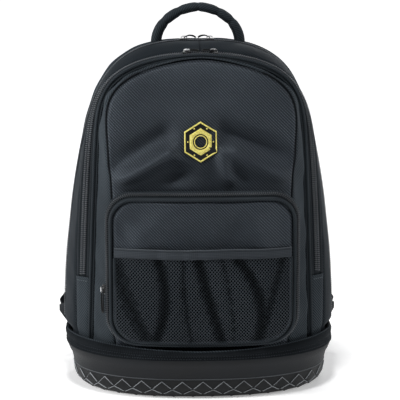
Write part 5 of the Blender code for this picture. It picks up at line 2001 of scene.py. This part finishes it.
@dataclass
class CarryHandle:
    """Padded tube handle with its sewn edge."""

    shop: Workshop
    foot_half: float = 0.0565
    rise: float = 0.047
    thick: float = 0.0150
    top_thick: float = 0.0125
    depth: float = 0.024
    squareness: float = 2.4
    creases: tuple[float, ...] = (0.20, 0.34, 0.50, 0.67, 0.80)
    crease_reach: float = 0.021

    def build(self) -> None:
        """Build the handle."""
        low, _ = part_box("handle")
        steps = 120
        turn = np.linspace(0, math.pi, steps)
        x = -self.foot_half * np.sign(np.cos(turn)) * np.abs(np.cos(turn)) ** 1.12
        path = np.stack([x, np.full(steps, HANDLE_Y), low.z + self.rise * np.sin(turn)], axis=1)
        slope = np.stack([np.sin(turn), np.zeros(steps), np.cos(turn) * self.rise / self.foot_half], axis=1)
        slope[0], slope[-1] = (0, 0, 1), (0, 0, -1)
        slope = unit(slope)
        sides = np.broadcast_to(np.array((0.0, 1.0, 0.0)), path.shape)
        ups = np.cross(slope, sides)
        ups = ups if ups[steps // 2, 2] > 0 else -ups
        thick = self.thick + (self.top_thick - self.thick) * np.sin(turn)
        share = turn / math.pi
        pinch = sum(np.exp(-((share - crease) / self.crease_reach) ** 2) for crease in self.creases)
        swell = 0.5 + 0.5 * np.cos((share * 6.0) * math.tau)
        count = 28
        outline = round_section(1.0, 1.0, count, self.squareness)
        section = outline[None] * np.stack([np.full(steps, self.depth), thick], axis=1)[:, None]
        inner = np.clip(-outline[:, 1] * 2, 0.0, 1.0)[None]
        scale = 1 - 0.15 * pinch[:, None] * (0.85 + 0.25 * inner) - 0.03 * swell[:, None] * inner
        section = section * scale[..., None]
        seam = np.abs(np.arange(count) - count * 0.60) < 1.0
        section = section * np.where(seam, 0.95, 1.0)[None, :, None]
        surface = swept(path, sides, ups, section)
        made = self.shop.piece("handle_cloth", surface, HANDLE_TWILL, "twill_cloth", ["handle"])
        drawn = (1 - 0.17 * pinch)[:, None]
        edge = path - (sides * self.depth * 0.40 + ups * thick[:, None] * 0.40) * drawn
        normal = unit(-sides - ups * 0.8)
        self.shop.piece("handle_edge", tube(edge, normal, 0.0022, 0.0018), PIPING, "twill_cloth")


@dataclass
class Harness:
    """Shoulder straps behind the bag, with their webbing, buckles and anchors."""

    shop: Workshop
    wide: float = 0.064
    thick: float = 0.012
    top_x: float = 0.052
    top_z: float = 0.430
    end_x: float = 0.120
    end_z: float = 0.175
    bow: float = 0.044
    rounding: float = 0.0007

    def middle_line(self) -> Array:
        """Middle line of the right strap pad.

        Returns:
            Its points.
        """
        lift = self.thick / 2 - 0.0002
        top = float(back_face(np.array([self.top_x]), np.array([self.top_z]))[0]) + lift
        rows = np.array(((0.00, 0.00, 0.0), (0.05, 0.02, 0.22), (0.20, 0.06, 0.62), (0.40, 0.17, 0.94),
                         (0.60, 0.36, 1.00), (0.80, 0.64, 0.92), (1.00, 1.00, 0.78)))
        points = np.stack([self.top_x + (self.end_x - self.top_x) * rows[:, 1],
                           top + (self.bow - lift) * rows[:, 2],
                           self.top_z + (self.end_z - self.top_z) * rows[:, 0]], axis=1)
        padded = np.concatenate([[points[0] * 2 - points[1]], points, [points[-1] * 2 - points[-2]]])
        chain = []
        for a, b, c, d in zip(padded, padded[1:], padded[2:], padded[3:]):
            t = np.linspace(0, 1, 24, endpoint=False)[:, None]
            chain.append(0.5 * (2 * b + (c - a) * t + (2 * a - 5 * b + 4 * c - d) * t ** 2
                                + (3 * b - a - 3 * c + d) * t ** 3))
        return resampled(np.concatenate([*chain, points[-1:]]), 90)

    def build(self) -> None:
        """Build both straps and what is on them."""
        path = self.middle_line()
        along = unit(np.gradient(path, axis=0))
        sides = unit(np.array((1.0, 0.0, 0.0)) - along * along[:, :1])
        ups = np.cross(along, sides)
        for side, sign in (("left", -1.0), ("right", 1.0)):
            flip = np.array((sign, 1.0, 1.0))
            outline = round_section(self.wide, self.thick, 36, 4.0)
            edge = np.clip((np.abs(outline[:, 0]) / (self.wide / 2) - 0.80) / 0.2, 0.0, 1.0)
            ends = np.minimum(np.arange(len(path)), np.arange(len(path))[::-1]) / 4.0
            taper = 1 - 0.35 * np.exp(-ends ** 2)
            section = outline[None] * np.stack([np.ones(len(path)), taper], axis=1)[:, None]
            section[..., 1] *= (1 - 0.35 * edge)[None]
            hump = 0.0006 * rumple(path[:, None] + sides[:, None] * section[..., :1], 0.05, 5.0 * sign)
            section[..., 1] += np.sign(section[..., 1]) * hump
            turned = section if sign > 0 else section[:, ::-1]
            surface = swept(path * flip, sides * flip, ups * flip, turned)
            made = self.shop.piece("strap_pad_cloth_" + side, surface, SPACER, "twill_cloth",
                                   ["strap_pad_" + side])
            rims, rows = [], []
            for which in (-1, 1):
                line = path + sides * which * (self.wide / 2 - 0.0012)
                rims.append(tube(line * flip, ups * flip, 0.0046, 0.0086, 10))
                for face in (-1, 1):
                    stitch = path + sides * which * (self.wide / 2 - 0.0062) + ups * face * self.thick * 0.455
                    rows.append(stitches((stitch * flip)[3:-3], (ups * face * flip)[3:-3]))
            self.shop.trim("strap_binding_" + side, joined(rims), WEBBING)
            self.shop.trim("strap_stitches_" + side, joined(rows), THREAD)
            self.shop.refined("strap_buckle_body_" + side, "strap_buckle_" + side, PLASTIC, "black_plastic",
                              bevel=self.rounding)
            self.shop.refined("strap_web_cloth_" + side, "strap_web_" + side, WEBBING, "black_webbing",
                              levels=2)
            self.shop.refined("anchor_wing_cloth_" + side, "anchor_wing_" + side, WEBBING, "black_webbing",
                              bevel=self.rounding)


@dataclass
class ZipHardware:
    """Sliders and the pulls that swing on them."""

    shop: Workshop
    places: tuple[str, ...] = ("rear_left", "rear_right", "front_left", "front_right", "pocket")
    still: float = 0.0065
    swell: float = 0.0007

    def build(self) -> None:
        """Build each slider and its pull."""
        for place in self.places:
            # Sliders are dark gunmetal with a painted glint of nickel on their outermost faces.
            slider = self.shop.refined("slider_body_" + place, "slider_" + place, [GUNMETAL, NICKEL_GLINT],
                                       "nickel", bevel=0.00022)
            self.paint_bridge_glint(slider.data, 0.10 if place.startswith("rear") else 0.45)
            loop = self.shop.refined("pull_loop_" + place, "pull_" + place, PLASTIC, "black_plastic",
                                     "pull_" + place, levels=2)
            self.thicken(loop.data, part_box("slider_" + place))

    def thicken(self, mesh: bpy.types.Mesh, seat: tuple[Vector, Vector]) -> None:
        """Thicken a pull's loop, away from the bridge that it swings on.

        Args:
            mesh: the pull's mesh, in the frame's place.
            seat: the box of its slider.
        """
        middle = (seat[0] + seat[1]) / 2
        for vertex in mesh.vertices:
            clear = ((vertex.co - middle).length - self.still) / self.still
            vertex.co += vertex.normal * self.swell * min(max(clear, 0.0), 1.0)

    def paint_bridge_glint(self, mesh: bpy.types.Mesh, above: float) -> None:
        """Give the slider's outermost faces the bright nickel, a painted glint on the dark slider.

        Args:
            mesh: the slider's mesh, in the frame's place.
            above: share of its height above which faces are bright.
        """
        centres = np.array([polygon.center for polygon in mesh.polygons])
        middle = self.shop.origin + BAG_MIDDLE
        height = (centres - centres.mean(axis=0)) @ unit(centres.mean(axis=0) - middle)
        for polygon, level in zip(mesh.polygons, height):
            polygon.material_index = int(level > height.max() * above)


@dataclass
class Badge:
    """Plain raised badge: a hex nut in gold on a dark six-sided plate."""

    shop: Workshop
    wide: float = 0.043
    high: float = 0.053
    x: float = -0.002
    z: float = BADGE_Z

    def ring(self, scale: float) -> Array:
        """Six-sided ring of points on the panel.

        Args:
            scale: share of the badge's size.

        Returns:
            The points.
        """
        turn = np.arange(72) * math.tau / 72
        corner = math.cos(math.pi / 6) / np.cos((turn % (math.pi / 3)) - math.pi / 6)
        x = self.x + np.sin(turn) * self.wide / 2 / math.cos(math.pi / 6) * corner * scale
        z = self.z + np.cos(turn) * self.high / 2 * corner * scale
        return np.stack([x, panel_face(x, z), z], axis=1)

    def hole(self, radius: float, count: int = 72) -> Array:
        """Round ring of points on the panel.

        Args:
            radius: its radius.
            count: how many points.

        Returns:
            The points.
        """
        turn = np.arange(count) * math.tau / count
        x, z = self.x + np.sin(turn) * radius, self.z + np.cos(turn) * radius
        return np.stack([x, panel_face(x, z), z], axis=1)

    def border(self, outer: Array, inner: Array, low: float, high: float) -> Surface:
        """Closed raised border between two rings.

        Args:
            outer: its outer ring on the panel.
            inner: its inner ring on the panel.
            low: height of its foot above the panel.
            high: height of its top above the panel.

        Returns:
            The border.
        """
        top, shoulder = FORWARD * high, FORWARD * high * 0.8
        return sleeve(np.stack([outer + FORWARD * low, outer + shoulder, outer * 0.93 + inner * 0.07 + top,
                                outer * 0.07 + inner * 0.93 + top, inner + shoulder, inner + FORWARD * low],
                               axis=1))

    def build(self) -> None:
        """Build the plate and its gold relief."""
        plate = self.border(self.ring(1.0), self.hole(self.wide * 0.17), 0.0004, 0.0014)
        self.shop.piece("badge_plate", plate, PLATE, "gold_print", ["emblem"])
        parts = [self.border(self.ring(0.985), self.ring(0.90), 0.0010, 0.0020),
                 self.border(self.ring(0.66), self.hole(self.wide * 0.235), 0.0010, 0.0022),
                 self.border(self.hole(self.wide * 0.200), self.hole(self.wide * 0.172), 0.0010, 0.0018)]
        for turn in range(6):
            angle = turn * math.tau / 6 + math.pi / 6
            spot = np.array((self.x + math.sin(angle) * self.wide * 0.385, 0.0,
                             self.z + math.cos(angle) * self.wide * 0.385 * self.high / self.wide * 0.95))
            ring = spot + self.hole(0.0010, 12) * np.array((1, 0, 1)) - np.array((self.x, 0, self.z))
            small = np.stack([ring[:, 0], panel_face(ring[:, 0], ring[:, 2]), ring[:, 2]], axis=1)
            centre = np.array((spot[0], float(panel_face(spot[0:1], spot[2:3])[0]), spot[2]))
            parts.append(self.border(small, centre + (small - centre) * 0.2, 0.0010, 0.0018))
        self.shop.piece("badge_relief", joined(parts), GOLD, "gold_print")


@dataclass
class Studio:
    """Camera, pale floor and soft light."""

    shop: Workshop
    camera_spot: Spot = (-0.0942, -2.2545, 0.6302)
    camera_aim: Spot = (0.0003, -0.0900, 0.2481)
    lens: float = 147.1
    floor_reach: float = 14.0

    def build(self) -> None:
        """Set up the camera, the floor and the lights."""
        self.camera()
        self.floor()
        self.light("left_light", (-2.0, -0.45, 1.1), (0.0, 0.0, 0.25), 0.7, 44.0)
        self.light("right_light", (2.0, -0.30, 1.1), (0.0, 0.0, 0.25), 0.7, 16.0)
        self.light("top_light", (-0.1, -0.60, 2.1), (0.0, -0.1, 0.2), 0.35, 23.0)
        self.light("back_light", (0.7, 1.9, 1.5), (0.0, 0.1, 0.25), 0.8, 14.0)
        world = bpy.data.worlds.new("studio")
        bpy.context.scene.world = world
        world.use_nodes = True
        world.node_tree.nodes["Background"].inputs[0].default_value = (0.93, 0.95, 1.0, 1.0)
        world.node_tree.nodes["Background"].inputs[1].default_value = 0.12
        bpy.context.scene.view_settings.view_transform = "Standard"

    def camera(self) -> None:
        """Camera at the photograph's place."""
        data = bpy.data.cameras.new("camera")
        data.lens = self.lens
        data.sensor_width = 36.0
        data.clip_end = 50.0
        eye = bpy.data.objects.new("camera", data)
        shift = Vector(self.shop.origin)
        spot, aim = Vector(self.camera_spot) + shift, Vector(self.camera_aim) + shift
        eye.location = spot
        eye.rotation_euler = (aim - spot).to_track_quat("-Z", "Y").to_euler()
        bpy.context.scene.collection.objects.link(eye)
        bpy.context.scene.camera = eye

    def light(self, name: str, spot: Spot, aim: Spot, size: float, power: float) -> None:
        """Soft square light.

        Args:
            name: its name.
            spot: where it hangs.
            aim: what it faces.
            size: length of its side.
            power: watts.
        """
        data = bpy.data.lights.new(name, "AREA")
        data.size = size
        data.energy = power
        lamp = bpy.data.objects.new(name, data)
        lamp.location = spot
        lamp.rotation_euler = (Vector(aim) - Vector(spot)).to_track_quat("-Z", "Y").to_euler()
        bpy.context.scene.collection.objects.link(lamp)

    def floor(self) -> None:
        """Pale floor with a painted glow from its own emission, dim near the bag and in front of it, brighter
        far away so that it reads as a white background.
        """
        wide = np.linspace(-self.floor_reach, self.floor_reach, 21)
        grid = np.stack([*np.meshgrid(wide, wide, indexing="ij"), np.zeros((21, 21))], axis=-1)
        mesh = sheet_of(grid).mesh("floor")
        floor = bpy.data.objects.new("floor", mesh)
        shader = Shader("pale_floor")
        away = shader.node("ShaderNodeVectorMath", {"operation": "LENGTH"}, {0: shader.place()}, "Value")
        glow = shader.ramp(away * 0.2, ((0.0, 0.26), (0.10, 0.30), (0.45, 0.86), (0.80, 1.0)))
        depth = shader.node("ShaderNodeSeparateXYZ", {}, {0: shader.place()}, 1)
        front = shader.ramp(depth * 0.1 + 0.5, ((0.0, 0.40), (0.30, 0.50), (0.42, 1.0), (1.0, 1.0)))
        mesh.materials.append(shader.finish(Base_Color=(0.90, 0.90, 0.90, 1.0), Roughness=0.9,
                                             Emission_Color=glow * front, Emission_Strength=1.0))
        bpy.context.scene.collection.objects.link(floor)


def main() -> None:
    """Build the looks around the frame."""
    logging.basicConfig(level=logging.INFO, format="%(message)s")
    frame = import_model()
    shop = Workshop(frame["nodes"])
    skin = Skin()
    Studio(shop).build()
    Base(shop).build()
    Body(shop, skin).build()
    FrontPocket(shop).build()
    NetPocket(shop).build()
    CarryHandle(shop).build()
    Harness(shop).build()
    ZipHardware(shop).build()
    Badge(shop).build()


if __name__ == "__main__":
    main()
